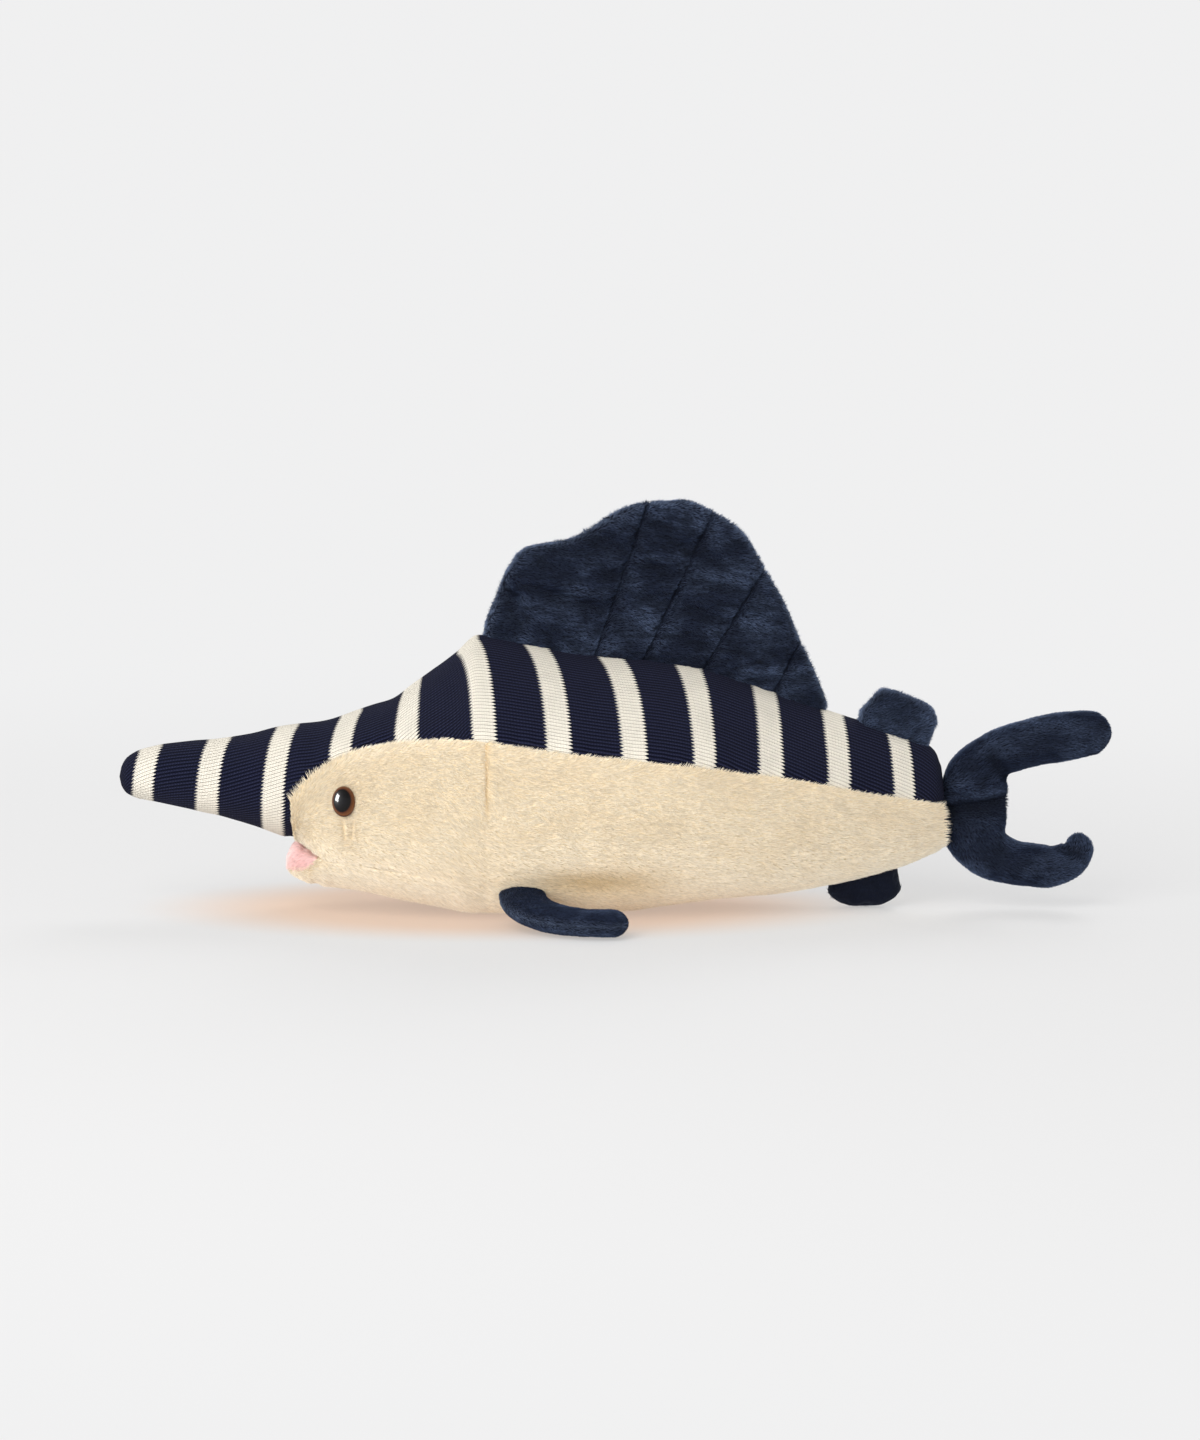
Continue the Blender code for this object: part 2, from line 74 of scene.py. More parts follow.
LONGEST_LINK_MM = 3.0  # longer edges belong to the flat caps, which have no relief
MOST_ROUNDS = 60
FIN_CLEARANCE = 0.8  # between the floor and a fin's skin, for its pile

# Places along the toy's length
BILL_TIP_X = -180.5
FACE_FRONT_X = -117.3
MOUTH_CORNER_X = -107.0
GILL_SEAM_X = -46.5
BODY_END_X = 119.5
LIP_X = -119.8

Colour = tuple[float, float, float]
Place = tuple[float, float, float]
Triples = tuple[tuple[float, float, float], ...]

log = logging.getLogger("swordfish")


class Slot(Enum):
    """The record's material slots."""

    KNIT = "striped_knit"
    CREAM = "cream_pile"
    NAVY = "navy_pile"
    PINK = "pink_lining"
    EYE = "eye_plastic"


class Side(Enum):
    """The two sides of the toy, as the sign of Y."""

    LEFT = -1
    RIGHT = 1


@dataclass(frozen=True)
class Line:
    """A smooth line through given keys, which never swings past them."""

    keys: tuple[tuple[float, float], ...]

    def at(self, x: np.ndarray | float) -> np.ndarray:
        """Reads the line.

        Args:
            x: One place or an array of places along the line.

        Returns:
            The line's value at each place.
        """
        keys = np.array(self.keys, dtype=float)
        x = np.clip(np.asarray(x, dtype=float), keys[0, 0], keys[-1, 0])
        spans = np.diff(keys[:, 0])
        rises = np.diff(keys[:, 1]) / spans
        same_way = rises[:-1] * rises[1:] > 0
        total = np.where(same_way, rises[:-1] + rises[1:], 1.0)
        inner = np.where(same_way, 2 * rises[:-1] * rises[1:] / total, 0.0)
        slopes = np.concatenate(([rises[0]], inner, [rises[-1]]))
        i = np.clip(np.searchsorted(keys[:, 0], x, side="right") - 1, 0, len(spans) - 1)
        t = (x - keys[i, 0]) / spans[i]
        return (
            (2 * t**3 - 3 * t**2 + 1) * keys[i, 1]
            + (t**3 - 2 * t**2 + t) * spans[i] * slopes[i]
            + (3 * t**2 - 2 * t**3) * keys[i + 1, 1]
            + (t**3 - t**2) * spans[i] * slopes[i + 1]
        )


def ease(t: np.ndarray | float) -> np.ndarray:
    """A soft step from 0 to 1."""
    t = np.clip(t, 0.0, 1.0)
    return t * t * (3 - 2 * t)


def unit(vectors: np.ndarray) -> np.ndarray:
    """The vectors at length 1."""
    return vectors / np.maximum(np.linalg.norm(vectors, axis=-1, keepdims=True), LEAST_LENGTH)


def hump(distance: np.ndarray, width: float | np.ndarray) -> np.ndarray:
    """A smooth bump that is 1 where the distance is 0 and fades over this width."""
    return np.exp(-((distance / width) ** 2))


def lumps(points: np.ndarray, size: float, seed: float) -> np.ndarray:
    """Soft random lumps.

    Args:
        points: Places in millimetres, in an array whose last axis is X, Y, Z.
        size: The usual width of a lump.
        seed: Moves the pattern, so that two uses differ.

    Returns:
        A value from about -1 to 1 for each place.
    """
    flat = points.reshape(-1, 3) / size + seed
    values = np.array([noise.noise(Vector(place)) for place in flat])
    return values.reshape(points.shape[:-1])


def bumps(points: np.ndarray, layers: Triples) -> np.ndarray:
    """The sum of layers of soft lumps, each of which is (depth, usual width of a lump, seed)."""
    return sum(depth * lumps(points, size, seed) for depth, size, seed in layers)


def numbers_of(
    items: bpy.types.bpy_prop_collection, field: str, each: int = 1, kind: type = float
) -> np.ndarray:
    """Reads one field of every item of a mesh.

    Args:
        items: The mesh's items, such as its vertices.
        field: The field's name.
        each: How many numbers the field has.
        kind: The type of the numbers.

    Returns:
        The numbers in one row.
    """
    values = np.empty(len(items) * each, dtype=kind)
    items.foreach_get(field, values)
    return values


def in_scene(name: str, data: bpy.types.ID) -> bpy.types.Object:
    """A new object with this data, linked to the scene."""
    made = bpy.data.objects.new(name, data)
    bpy.context.scene.collection.objects.link(made)
    return made


@dataclass(frozen=True)
class BodyForm:
    """The stuffed body's outline at each place along its length, from the CAD model's driving sizes."""

    top: Line = Line((
        (-180.5, 48.6), (-179.6, 52.5), (-177.5, 55.6), (-172, 58.7), (-164, 60.6), (-147, 62), (-134, 64.2),
        (-119, 67.4), (-107, 69), (-98, 71.4), (-88, 74.8), (-81, 77.3), (-75, 81.6), (-67, 87.5), (-58, 94),
        (-50, 100.6), (-33, 98), (-20, 95.4), (-6, 93), (20, 90.2), (32, 88), (49, 82.6), (75, 73.4),
        (98, 66.3), (110, 62.2), (114.5, 59.4), (117.5, 56.2), (119.5, 52.6),
    ))
    bottom: Line = Line((
        (-180.5, 48.2), (-179.6, 44.6), (-177.5, 42), (-171, 39.6), (-160, 37.3), (-143, 33.3), (-128, 28.8),
        (-117.3, 24.8), (-114.5, 22.2), (-111, 15), (-107, 8.8), (-102, 8), (-96, 7.4), (-87, 5.6), (-80, 4.1),
        (-70, 2), (-62, 0.3), (-54, -1.3), (-40, -1.8), (-8, -1.6), (6, -0.6), (16, 1), (35, 3.2), (55, 4.9),
        (77, 7.9), (104, 14.4), (119.5, 20.9),
    ))
    half_width: Line = Line((
        (-180.5, 0.6), (-179.6, 4), (-177.5, 6.4), (-171, 8.9), (-160, 10.8), (-147, 12.8), (-134, 15.6),
        (-119, 19.8), (-107, 25), (-98, 29), (-88, 32.6), (-78, 35.6), (-65, 38.8), (-50, 41.4), (-32, 42.5),
        (-12, 42.2), (6, 41), (26, 38), (46, 33.5), (66, 27.8), (86, 21.4), (102, 16), (112, 12.4), (119.5, 9.5),
    ))
    widest_share: Line = Line((
        (-180.5, 0.5), (-134, 0.5), (-117, 0.45), (-100, 0.45), (-50, 0.42), (20, 0.43), (80, 0.46), (119.5, 0.5),
    ))
    ridge_power: Line = Line(((-180.5, 2), (-125, 2), (-90, 1.85), (-50, 1.6), (40, 1.6), (90, 1.75), (119.5, 2)))
    belly_power: Line = Line(((-180.5, 2), (-120, 2), (-100, 2.1), (-50, 2.35), (20, 2.3), (90, 2.1), (119.5, 2)))
    side_seam: Line = Line((
        (-117.3, 43), (-114.8, 46.5), (-107, 54.4), (-98, 59.8), (-92, 62.2), (-79, 64.9), (-68, 66.3),
        (-58, 66.8), (-48, 66.5), (-39, 65.2), (-20, 62.6), (7, 59.6), (34, 56), (62, 51.6), (90, 45.4),
        (119.5, 39.3),
    ))
    chin_seam: Line = Line((
        (-117.3, 25.4), (-115, 24.9), (-112, 23.7), (-107, 21.6), (-103, 19.8), (-88, 18.4), (-73, 16.4),
        (-61, 13.8), (-46.5, 9),
    ))

    def levels(self, x: np.ndarray) -> tuple[np.ndarray, np.ndarray, np.ndarray, np.ndarray]:
        """The lowest, widest and highest level and the half width at each x."""
        low = self.bottom.at(x)
        top = self.top.at(x)
        return low, low + self.widest_share.at(x) * (top - low), top, self.half_width.at(x)

    def angle_at(self, x: np.ndarray, z: np.ndarray) -> np.ndarray:
        """Finds a height on the outline.

        Args:
            x: Places along the body.
            z: A height at each place.

        Returns:
            The outline's angle there, from -90 degrees at the belly to 90 at the ridge, in radians.
        """
        low, middle, top, _ = self.levels(x)
        above = np.clip((z - middle) / (top - middle), 0, 1) ** (self.ridge_power.at(x) / 2)
        below = np.clip((middle - z) / (middle - low), 0, 1) ** (self.belly_power.at(x) / 2)
        return np.arcsin(above) - np.arcsin(below)

    def point(self, x: np.ndarray, angle: np.ndarray) -> np.ndarray:
        """Places points on the outline.

        Args:
            x: Places along the body.
            angle: The outline's angle at each place, past 90 degrees on the -Y side.

        Returns:
            The points, in an array whose last axis is X, Y, Z.
        """
        x, angle = np.broadcast_arrays(x, angle)
        low, middle, top, half_width = self.levels(x)
        rising = np.sin(angle) >= 0
        power = np.where(rising, self.ridge_power.at(x), self.belly_power.at(x))
        reach = np.where(rising, top - middle, low - middle)
        height = middle + reach * np.abs(np.sin(angle)) ** (2 / power)
        side = np.sign(np.cos(angle))
        width = side * half_width * np.abs(np.cos(angle)) ** (2 / power)
        return np.stack([x, width, np.maximum(height, FLOOR)], axis=-1)

    def arc_from_ridge(self, x: np.ndarray, angle: np.ndarray) -> np.ndarray:
        """The distance over the surface, at one x, from the ridge down to each angle."""
        shares = np.linspace(0, 1, 40)
        sweep = RIGHT_ANGLE + (np.asarray(angle)[..., None] - RIGHT_ANGLE) * shares
        points = self.point(np.asarray(x)[..., None], sweep)
        return np.linalg.norm(np.diff(points, axis=-2), axis=-1).sum(axis=-1)


FORM = BodyForm()


class Draft:
    """A mesh in the making: open sheets of points that meet at their edges, and flat caps that close them."""

    def __init__(self) -> None:
        """Starts with nothing drawn."""
        self.points: list[np.ndarray] = []
        self.maps: list[np.ndarray] = []
        self.marks: dict[str, list[np.ndarray]] = {}
        self.faces: list[tuple[int, ...]] = []
        self.coated: list[int] = []
        self.count = 0

    def sheet(
        self, points: np.ndarray, unwrap: np.ndarray, marks: dict[str, np.ndarray], kept: np.ndarray | None = None
    ) -> np.ndarray:
        """Adds a sheet of faces.

        Args:
            points: Rows and columns of points in millimetres.
            unwrap: A place on the flat pattern for each point.
            marks: Named values for each point, which materials and the pile read.
            kept: Whether each face between the rows and columns is drawn, or None for all of them.

        Returns:
            The number of each point, in rows and columns.
        """
        rows, columns = points.shape[:2]
        numbers = np.arange(rows * columns).reshape(rows, columns) + self.count
        self.count += rows * columns
        self.points.append(points.reshape(-1, 3))
        self.maps.append(unwrap.reshape(-1, 2))
        for name, values in marks.items():
            self.marks.setdefault(name, []).append(values.reshape(rows * columns, -1))
        a, b, c, d = numbers[:-1, :-1], numbers[:-1, 1:], numbers[1:, 1:], numbers[1:, :-1]
        quads = np.stack([a, b, c, d], axis=-1)
        quads = quads.reshape(-1, 4) if kept is None else quads[kept]
        self.faces.extend(map(tuple, quads.tolist()))
        self.coated.extend([1] * len(quads))
        return numbers

    def strip(self, first: np.ndarray, second: np.ndarray) -> None:
        """Adds a bare strip of faces between two rows of points."""
        for k in range(len(first) - 1):
            self.faces.append((int(first[k]), int(first[k + 1]), int(second[k + 1]), int(second[k])))
            self.coated.append(0)

    def cap(self, *rings: np.ndarray) -> None:
        """Adds a bare flat face with each ring as its edge."""
        self.faces.extend(tuple(ring.tolist()) for ring in rings)
        self.coated.extend([0] * len(rings))

    def piece(self, name: str, sharp_degrees: float = 62.0) -> bpy.types.Object:
        """Makes the object, with its sheets joined where they meet and its faces pointing out.

        Args:
            name: The object's name.
            sharp_degrees: Edges that bend more than this are sharp.

        Returns:
            The object, in the scene, with its place in its mesh.
        """
        points = np.concatenate(self.points) * MM
        unwrap = np.concatenate(self.maps)
        mesh = bpy.data.meshes.new(name)
        mesh.from_pydata(points.tolist(), [], self.faces)
        corners = numbers_of(mesh.loops, "vertex_index", kind=np.int32)
        layer = mesh.uv_layers.new(name="OFBake")
        layer.data.foreach_set("uv", unwrap[corners].ravel().astype(np.float32))
        for mark, parts in self.marks.items():
            values = np.concatenate(parts)
            kind = {1: "FLOAT", 2: "FLOAT2", 3: "FLOAT_VECTOR"}[values.shape[1]]
            attribute = mesh.attributes.new(mark, kind, "POINT")
            attribute.data.foreach_set("value" if kind == "FLOAT" else "vector", values.ravel().astype(np.float32))
        coated = mesh.attributes.new("coated", "FLOAT", "FACE")
        coated.data.foreach_set("value", np.array(self.coated, dtype=np.float32))
        work = bmesh.new()
        work.from_mesh(mesh)
        bmesh.ops.remove_doubles(work, verts=work.verts, dist=WELD_MM * MM)
        bmesh.ops.dissolve_degenerate(work, edges=work.edges, dist=SHORTEST_EDGE_MM * MM)
        bmesh.ops.delete(work, geom=[vert for vert in work.verts if not vert.link_faces])
        bmesh.ops.recalc_face_normals(work, faces=work.faces)
        work.to_mesh(mesh)
        work.free()
        mesh.shade_smooth()
        mesh.set_sharp_from_angle(angle=math.radians(sharp_degrees))
        return in_scene(name, mesh)


def sheet_normals(points: np.ndarray, outward: np.ndarray) -> np.ndarray:
    """The surface's direction at each point of a sheet.

    Args:
        points: Rows and columns of points.
        outward: A direction for each point that leans outwards, to choose the side.

    Returns:
        The outward unit normals.
    """
    normals = unit(np.cross(np.gradient(points, axis=0), np.gradient(points, axis=1)))
    flip = np.sign(np.sum(normals * outward, axis=-1, keepdims=True))
    return normals * np.where(flip == 0, 1, flip)


def mark_relief(skin: bpy.types.Object, reach_mm: float = 3.5, full_mm: float = 0.6) -> None:
    """Marks how far each point of a skin stands above or below the cloth around it.

    Args:
        skin: The skin, which gets the mark relief from -1 in a fold to 1 on a crest.
        reach_mm: How far around a point the cloth is averaged.
        full_mm: The height at which the mark is nearly full.
    """
    mesh = skin.data
    count = len(mesh.vertices)
    points = numbers_of(mesh.vertices, "co", 3).reshape(-1, 3)
    normals = numbers_of(mesh.vertex_normals, "vector", 3).reshape(-1, 3)
    first, second = numbers_of(mesh.edges, "vertices", 2, np.int64).reshape(-1, 2).T
    length = np.linalg.norm(points[first] - points[second], axis=1)
    short = length < LONGEST_LINK_MM * MM
    first, second = first[short], second[short]
    links = np.maximum(np.bincount(first, minlength=count) + np.bincount(second, minlength=count), 1)
    rounds = int(2 * (reach_mm * MM / np.median(length)) ** 2) + 4
    calm = points.copy()
    for _ in range(min(rounds, MOST_ROUNDS)):
        total = np.stack([
            np.bincount(first, calm[second, axis], count) + np.bincount(second, calm[first, axis], count)
            for axis in range(3)
        ], axis=-1)
        calm = 0.5 * calm + 0.5 * total / links[:, None]
    height = np.sum((points - calm) * normals, axis=1) / MM
    mark = mesh.attributes.new("relief", "FLOAT", "POINT")
    mark.data.foreach_set("value", np.tanh(height / full_mm).astype(np.float32))


def pattern_square(rows: int, columns: int) -> np.ndarray:
    """A flat pattern that fills the unit square, for a sheet of this many rows and columns."""
    u, v = np.meshgrid(np.linspace(0.01, 0.99, rows), np.linspace(0.01, 0.99, columns), indexing="ij")
    return np.stack([u, v], axis=-1)


class Signal:
    """A shader or geometry socket that takes part in Python arithmetic."""

    def __init__(self, bench: "Bench", socket: bpy.types.NodeSocket) -> None:
        """Wraps one output socket of a bench's tree."""
        self.bench = bench
        self.socket = socket

    def _math(self, operation: str, first: object, second: object) -> "Signal":
        """Adds a Math node for two values."""
        return self.bench.node("ShaderNodeMath", {"operation": operation}, {0: first, 1: second})

    def __add__(self, other: object) -> "Signal":
        """self + other"""
        return self._math("ADD", self, other)

    def __radd__(self, other: object) -> "Signal":
        """other + self"""
        return self._math("ADD", other, self)

    def __sub__(self, other: object) -> "Signal":
        """self - other"""
        return self._math("SUBTRACT", self, other)

    def __rsub__(self, other: object) -> "Signal":
        """other - self"""
        return self._math("SUBTRACT", other, self)

    def __mul__(self, other: object) -> "Signal":
        """self * other"""
        return self._math("MULTIPLY", self, other)

    def __rmul__(self, other: object) -> "Signal":
        """other * self"""
        return self._math("MULTIPLY", other, self)

    def __truediv__(self, other: object) -> "Signal":
        """self / other"""
        return self._math("DIVIDE", self, other)

    def __pow__(self, other: object) -> "Signal":
        """self ** other"""
        return self._math("POWER", self, other)


class Bench:
    """Builds a node tree from Python expressions."""

    def __init__(self, tree: bpy.types.NodeTree) -> None:
        """Works on one node tree."""
        self.tree = tree

    def node(self, kind: str, settings: dict, inputs: dict, output: int | str = 0) -> Signal:
        """Adds any node.

        Args:
            kind: The node's type.
            settings: Its own settings, set first; stops is a colour ramp's list of (place, colour).
            inputs: Values or signals for its input sockets, by name or number.
            output: The output socket to hand back.

        Returns:
            The output as a signal.
        """
        made = self.tree.nodes.new(kind)
        for name, value in settings.items():
            if name != "stops":
                setattr(made, name, value)
                continue
            ramp = made.color_ramp
            for stop, (place, colour) in enumerate(value):
                entry = ramp.elements[stop] if stop < 2 else ramp.elements.new(place)
                entry.position = place
                entry.color = colour
        for name, value in inputs.items():
            self.feed(made.inputs[name], value)
        return Signal(self, made.outputs[output])

    def feed(self, socket: bpy.types.NodeSocket, value: object) -> None:
        """Links a signal to an input socket, or sets its value."""
        if isinstance(value, Signal):
            self.tree.links.new(value.socket, socket)
        elif isinstance(value, tuple) and len(value) == 3 and socket.type == "RGBA":
            socket.default_value = (*value, 1.0)
        else:
            socket.default_value = value

    def function(self, operation: str, *values: object, clamp: bool = False) -> Signal:
        """A Math node by name, such as FRACT or ABSOLUTE."""
        settings = {"operation": operation, "use_clamp": clamp}
        return self.node("ShaderNodeMath", settings, dict(enumerate(values)))

    def vector(self, operation: str, *values: object, output: str = "Vector") -> Signal:
        """A Vector Math node by name; its output is Value where the result is a number."""
        return self.node("ShaderNodeVectorMath", {"operation": operation}, dict(enumerate(values)), output)

    def scaled(self, vector: Signal, factor: object) -> Signal:
        """A vector times a number."""
        return self.node("ShaderNodeVectorMath", {"operation": "SCALE"}, {0: vector, "Scale": factor})

    def soft_step(self, value: Signal, low: float, high: float, start: float = 0.0, end: float = 1.0) -> Signal:
        """A soft step from start, where the value is low, to end, where it is high."""
        inputs = {"Value": value, "From Min": low, "From Max": high, "To Min": start, "To Max": end}
        return self.node("ShaderNodeMapRange", {"interpolation_type": "SMOOTHSTEP"}, inputs)

    def stored(self, name: str, kind: str = "FLOAT") -> Signal:
        """A named value that the geometry carries."""
        return self.node("GeometryNodeInputNamedAttribute", {"data_type": kind}, {"Name": name})


class Cloth(Bench):
    """The node tree of one material, with its shader and output ready."""

    def __init__(self, name: str) -> None:
        """Makes an empty material with this name."""
        self.material = bpy.data.materials.new(name)
        self.material.use_nodes = True
        super().__init__(self.material.node_tree)
        self.tree.nodes.clear()
        self.shader = self.tree.nodes.new("ShaderNodeBsdfPrincipled")
        result = self.tree.nodes.new("ShaderNodeOutputMaterial")
        self.tree.links.new(self.shader.outputs["BSDF"], result.inputs["Surface"])

    def surface(self, **sockets: object) -> bpy.types.Material:
        """Sets the shader's sockets, with spaces in their names as underscores, and hands back the material."""
        for name, value in sockets.items():
            self.feed(self.shader.inputs[name.replace("_", " ")], value)
        return self.material

    def mark(self, name: str, output: str = "Fac") -> Signal:
        """A named value that the mesh carries."""
        return self.node("ShaderNodeAttribute", {"attribute_name": name}, {}, output)

    def place(self) -> Signal:
        """The point's own place in metres."""
        return self.node("ShaderNodeTexCoord", {}, {}, "Object")

    def mottle(self, size_mm: float, detail: float = 2.0, stretch: tuple | None = None) -> Signal:
        """Cloudy noise from 0 to 1 with patches of about this size, longer along the axes that stretch names."""
        where = self.place()
        if stretch:
            where = self.node("ShaderNodeMapping", {}, {"Vector": where, "Scale": stretch})
        inputs = {"Vector": where, "Scale": 1 / (size_mm * MM), "Detail": detail, "Roughness": 0.55}
        return self.node("ShaderNodeTexNoise", {}, inputs, 0)

    def blend(self, share: object, first: object, second: object) -> Signal:
        """A colour between two colours."""
        inputs = {0: share, 6: first, 7: second}
        return self.node("ShaderNodeMix", {"data_type": "RGBA"}, inputs, 2)

    def shade(self, colour: object, factor: object) -> Signal:
        """A colour made lighter or darker by a factor."""
        return self.tinted(1.0, colour, self.grey(factor))

    def tinted(self, share: object, colour: object, tint: object) -> Signal:
        """A colour multiplied by a tint, as far as the share says."""
        inputs = {0: share, 6: colour, 7: tint}
        return self.node("ShaderNodeMix", {"data_type": "RGBA", "blend_type": "MULTIPLY"}, inputs, 2)

    def grey(self, value: Signal) -> Signal:
        """A value as a grey colour."""
        return self.node("ShaderNodeCombineColor", {}, {0: value, 1: value, 2: value})

    def bump(self, height: Signal, depth_mm: float, strength: float = 1.0) -> Signal:
        """A bumped normal from a height between 0 and 1."""
        return self.node("ShaderNodeBump", {}, {"Strength": strength, "Distance": depth_mm * MM, "Height": height})


@dataclass(frozen=True)
class KnitFinish:
    """A jersey knit whose ribs run along the toy, in navy with cream cross stripes, with painted shade and highlights
    on its ribs.
    """

    navy: Colour = (0.003, 0.0037, 0.0125)
    # The second navy is a painted highlight on the rib crests, and the groove colour is painted shade between the
    # cream ribs.
    navy_lit_crest: Colour = (0.036, 0.041, 0.088)
    cream: Colour = (0.93, 0.88, 0.77)
    groove: Colour = (0.50, 0.45, 0.38)
    cream_share: float = 0.36
    cream_trim: float = 0.016
    tooth: float = 0.062
    edge_sharpness: float = 150.0
    rib_depth_mm: float = 0.5

    def material(self) -> bpy.types.Material:
        """The knit's material, which reads the Knit map (courses, ribs) and the stripe mark."""
        bench = Cloth("striped_knit")
        knit = bench.node("ShaderNodeUVMap", {"uv_map": "Knit"}, {})
        course = bench.node("ShaderNodeSeparateXYZ", {}, {0: knit}, 0)
        rib = bench.node("ShaderNodeSeparateXYZ", {}, {0: knit}, 1)
        off_centre = bench.function("ABSOLUTE", bench.function("FRACT", rib) - 0.5) * 2
        stripe = bench.mark("stripe") + (off_centre - 0.5) * self.tooth
        half = self.cream_share / 2
        from_centre = bench.function("ABSOLUTE", bench.function("FRACT", stripe - half + 0.5) - 0.5)
        inside = (half - self.cream_trim) - from_centre
        is_cream = bench.function("ADD", inside * self.edge_sharpness, 0.5, clamp=True)
        groove = off_centre ** 3.0
        loop = bench.function("SINE", (course + off_centre * 0.5) * math.tau) * 0.5 + 0.5
        wear = bench.mottle(9.0)
        # Painted shade in the grooves between the cream ribs, and a painted highlight on the navy ribs' crests, both
        # varied by the loops.
        cream = bench.blend(groove * 0.6 + loop * 0.12, self.cream, self.groove)
        crest = (1 - off_centre) ** 2.0
        dark = bench.blend(crest * (loop * 0.5 + 0.5), self.navy, self.navy_lit_crest)
        colour = bench.shade(bench.blend(is_cream, dark, cream), wear * 0.24 + 0.88)
        leg = 1 - bench.function("ABSOLUTE", off_centre * 2 - 0.9) ** 2.0
        height = leg * 0.6 + loop * 0.25 * (1 - groove) + bench.mottle(0.5) * 0.2
        bump = bench.bump(height, self.rib_depth_mm)
        return bench.surface(
            Base_Color=colour, Roughness=0.95, Normal=bump, Sheen_Weight=0.02, Sheen_Roughness=0.5,
            Specular_IOR_Level=0.06,
        )


@dataclass(frozen=True)
class PileFinish:
    """A short plush pile: its cloth ground, its tufts from root to tip, and how it catches the light.

    It also says how many tufts stand on a square millimetre, a tuft's usual length, its width at the root, and
    lift, which is how steeply it leaves the skin, against 1 along it. Its ground and root colours are darker than
    its tips, as painted shade deep in the pile.
    """

    name: str
    ground: Colour
    root: Colour
    tip: Colour
    crushed_tone_and_sheen: Colour
    sheen: float
    sheen_tint: Colour
    fold_shade: float
    seam_and_shade_tint: Colour
    spread: float
    rim: Colour
    patch_mm: float = 11.0
    streak_mm: float = 1.3
    streak_depth: float = 0.5
    per_mm2: float = 6.3
    length: float = 1.55
    width: float = 0.35
    lift: float = 0.3

    def ground_material(self) -> bpy.types.Material:
        """The woven ground under the tufts, with fine streaks along the toy, darker than the tips as painted shade.
        """
        bench = Cloth(self.name + "_ground")
        streak = bench.mottle(0.9, 3.0, (0.35, 1.0, 1.0))
        colour = bench.blend(streak, self.ground, self.root)
        return bench.surface(
            Base_Color=colour, Roughness=0.95, Normal=bench.bump(streak, 0.4), Specular_IOR_Level=0.2,
            Sheen_Weight=self.sheen * 0.5, Sheen_Tint=self.sheen_tint,
        )

    def tuft_material(self) -> bpy.types.Material:
        """The tufts, with painted shade at the root, patches of another tone (a lighter painted sheen on the navy
        pile), painted shade in folds and seams, painted light on crests and a painted rim light at edges.
        """
        bench = Cloth(self.name + "_tufts")
        patch = bench.soft_step(bench.mottle(self.patch_mm, 3.0, (0.6, 1.0, 1.0)), 0.42, 0.64)
        calm = bench.mark("calm")
        # Patches, and the share of the pile marked as crushed, blend the tip towards the crushed-pile colour: a
        # slightly different tone on cream and pink, and on navy a much lighter colour that is painted sheen.
        tip = bench.blend(patch * (1 - calm * 0.7) + bench.mark("pressed"), self.tip, self.crushed_tone_and_sheen)
        # Painted rim light: the rim mark blends the tips towards a lighter colour at edges.
        tip = bench.blend(bench.mark("rim") * 0.8, tip, self.rim)
        # Painted shade in folds and painted light on crests: the relief mark darkens the tips in hollows and lightens
        # them on crests.
        tip = bench.shade(tip, bench.mark("relief") * self.fold_shade + 1.0)
        # Painted shade deep in the pile: each tuft blends from the darker root colour to its tip.
        colour = bench.blend(bench.mark("along") ** 0.8, self.root, tip)
        # The seam mark darkens the pile: partly the seams' own lines, partly painted shade in grooves, creases and
        # hollows.
        colour = bench.tinted(bench.mark("seam"), colour, self.seam_and_shade_tint)
        streak = (bench.mottle(self.streak_mm, 2.0, (0.22, 1.0, 1.0)) - 0.5) * self.streak_depth
        tone = (bench.mark("tone") - 0.5) * self.spread
        colour = bench.shade(colour, tone + streak * (1 - calm * 0.6) + 1.0)
        return bench.surface(
            Base_Color=colour, Roughness=0.75, Specular_IOR_Level=0.1, Sheen_Weight=self.sheen,
            Sheen_Roughness=0.45, Sheen_Tint=self.sheen_tint,
        )


CREAM_PILE = PileFinish(
    name="cream_pile", ground=(0.80, 0.68, 0.48), root=(0.79, 0.67, 0.47), tip=(0.89, 0.83, 0.72),
    crushed_tone_and_sheen=(0.86, 0.785, 0.66), sheen=0.1, sheen_tint=(1.0, 0.97, 0.9), fold_shade=0.14,
    seam_and_shade_tint=(0.84, 0.72, 0.52), spread=0.28, rim=(0.9, 0.85, 0.75), streak_depth=0.22,
    per_mm2=6.2, length=2.15, width=0.37, lift=0.36,
)
NAVY_PILE = PileFinish(
    name="navy_pile", ground=(0.004, 0.0055, 0.0125), root=(0.004, 0.0055, 0.0125), tip=(0.0125, 0.018, 0.037),
    crushed_tone_and_sheen=(0.064, 0.088, 0.15), sheen=0.16, sheen_tint=(0.45, 0.56, 0.85), fold_shade=0.55,
    seam_and_shade_tint=(0.3, 0.31, 0.36), spread=0.6, rim=(0.14, 0.18, 0.27), patch_mm=12.0, streak_depth=2.6,
)
PINK_PILE = PileFinish(
    name="pink_pile", ground=(0.84, 0.57, 0.56), root=(0.84, 0.57, 0.56), tip=(0.87, 0.635, 0.61),
    crushed_tone_and_sheen=(0.86, 0.62, 0.595), sheen=0.1, sheen_tint=(1.0, 0.95, 0.95), fold_shade=0.1,
    seam_and_shade_tint=(1.0, 1.0, 1.0), spread=0.2, rim=(0.9, 0.75, 0.73), per_mm2=6.0, length=1.7, width=0.4, lift=0.5,
)


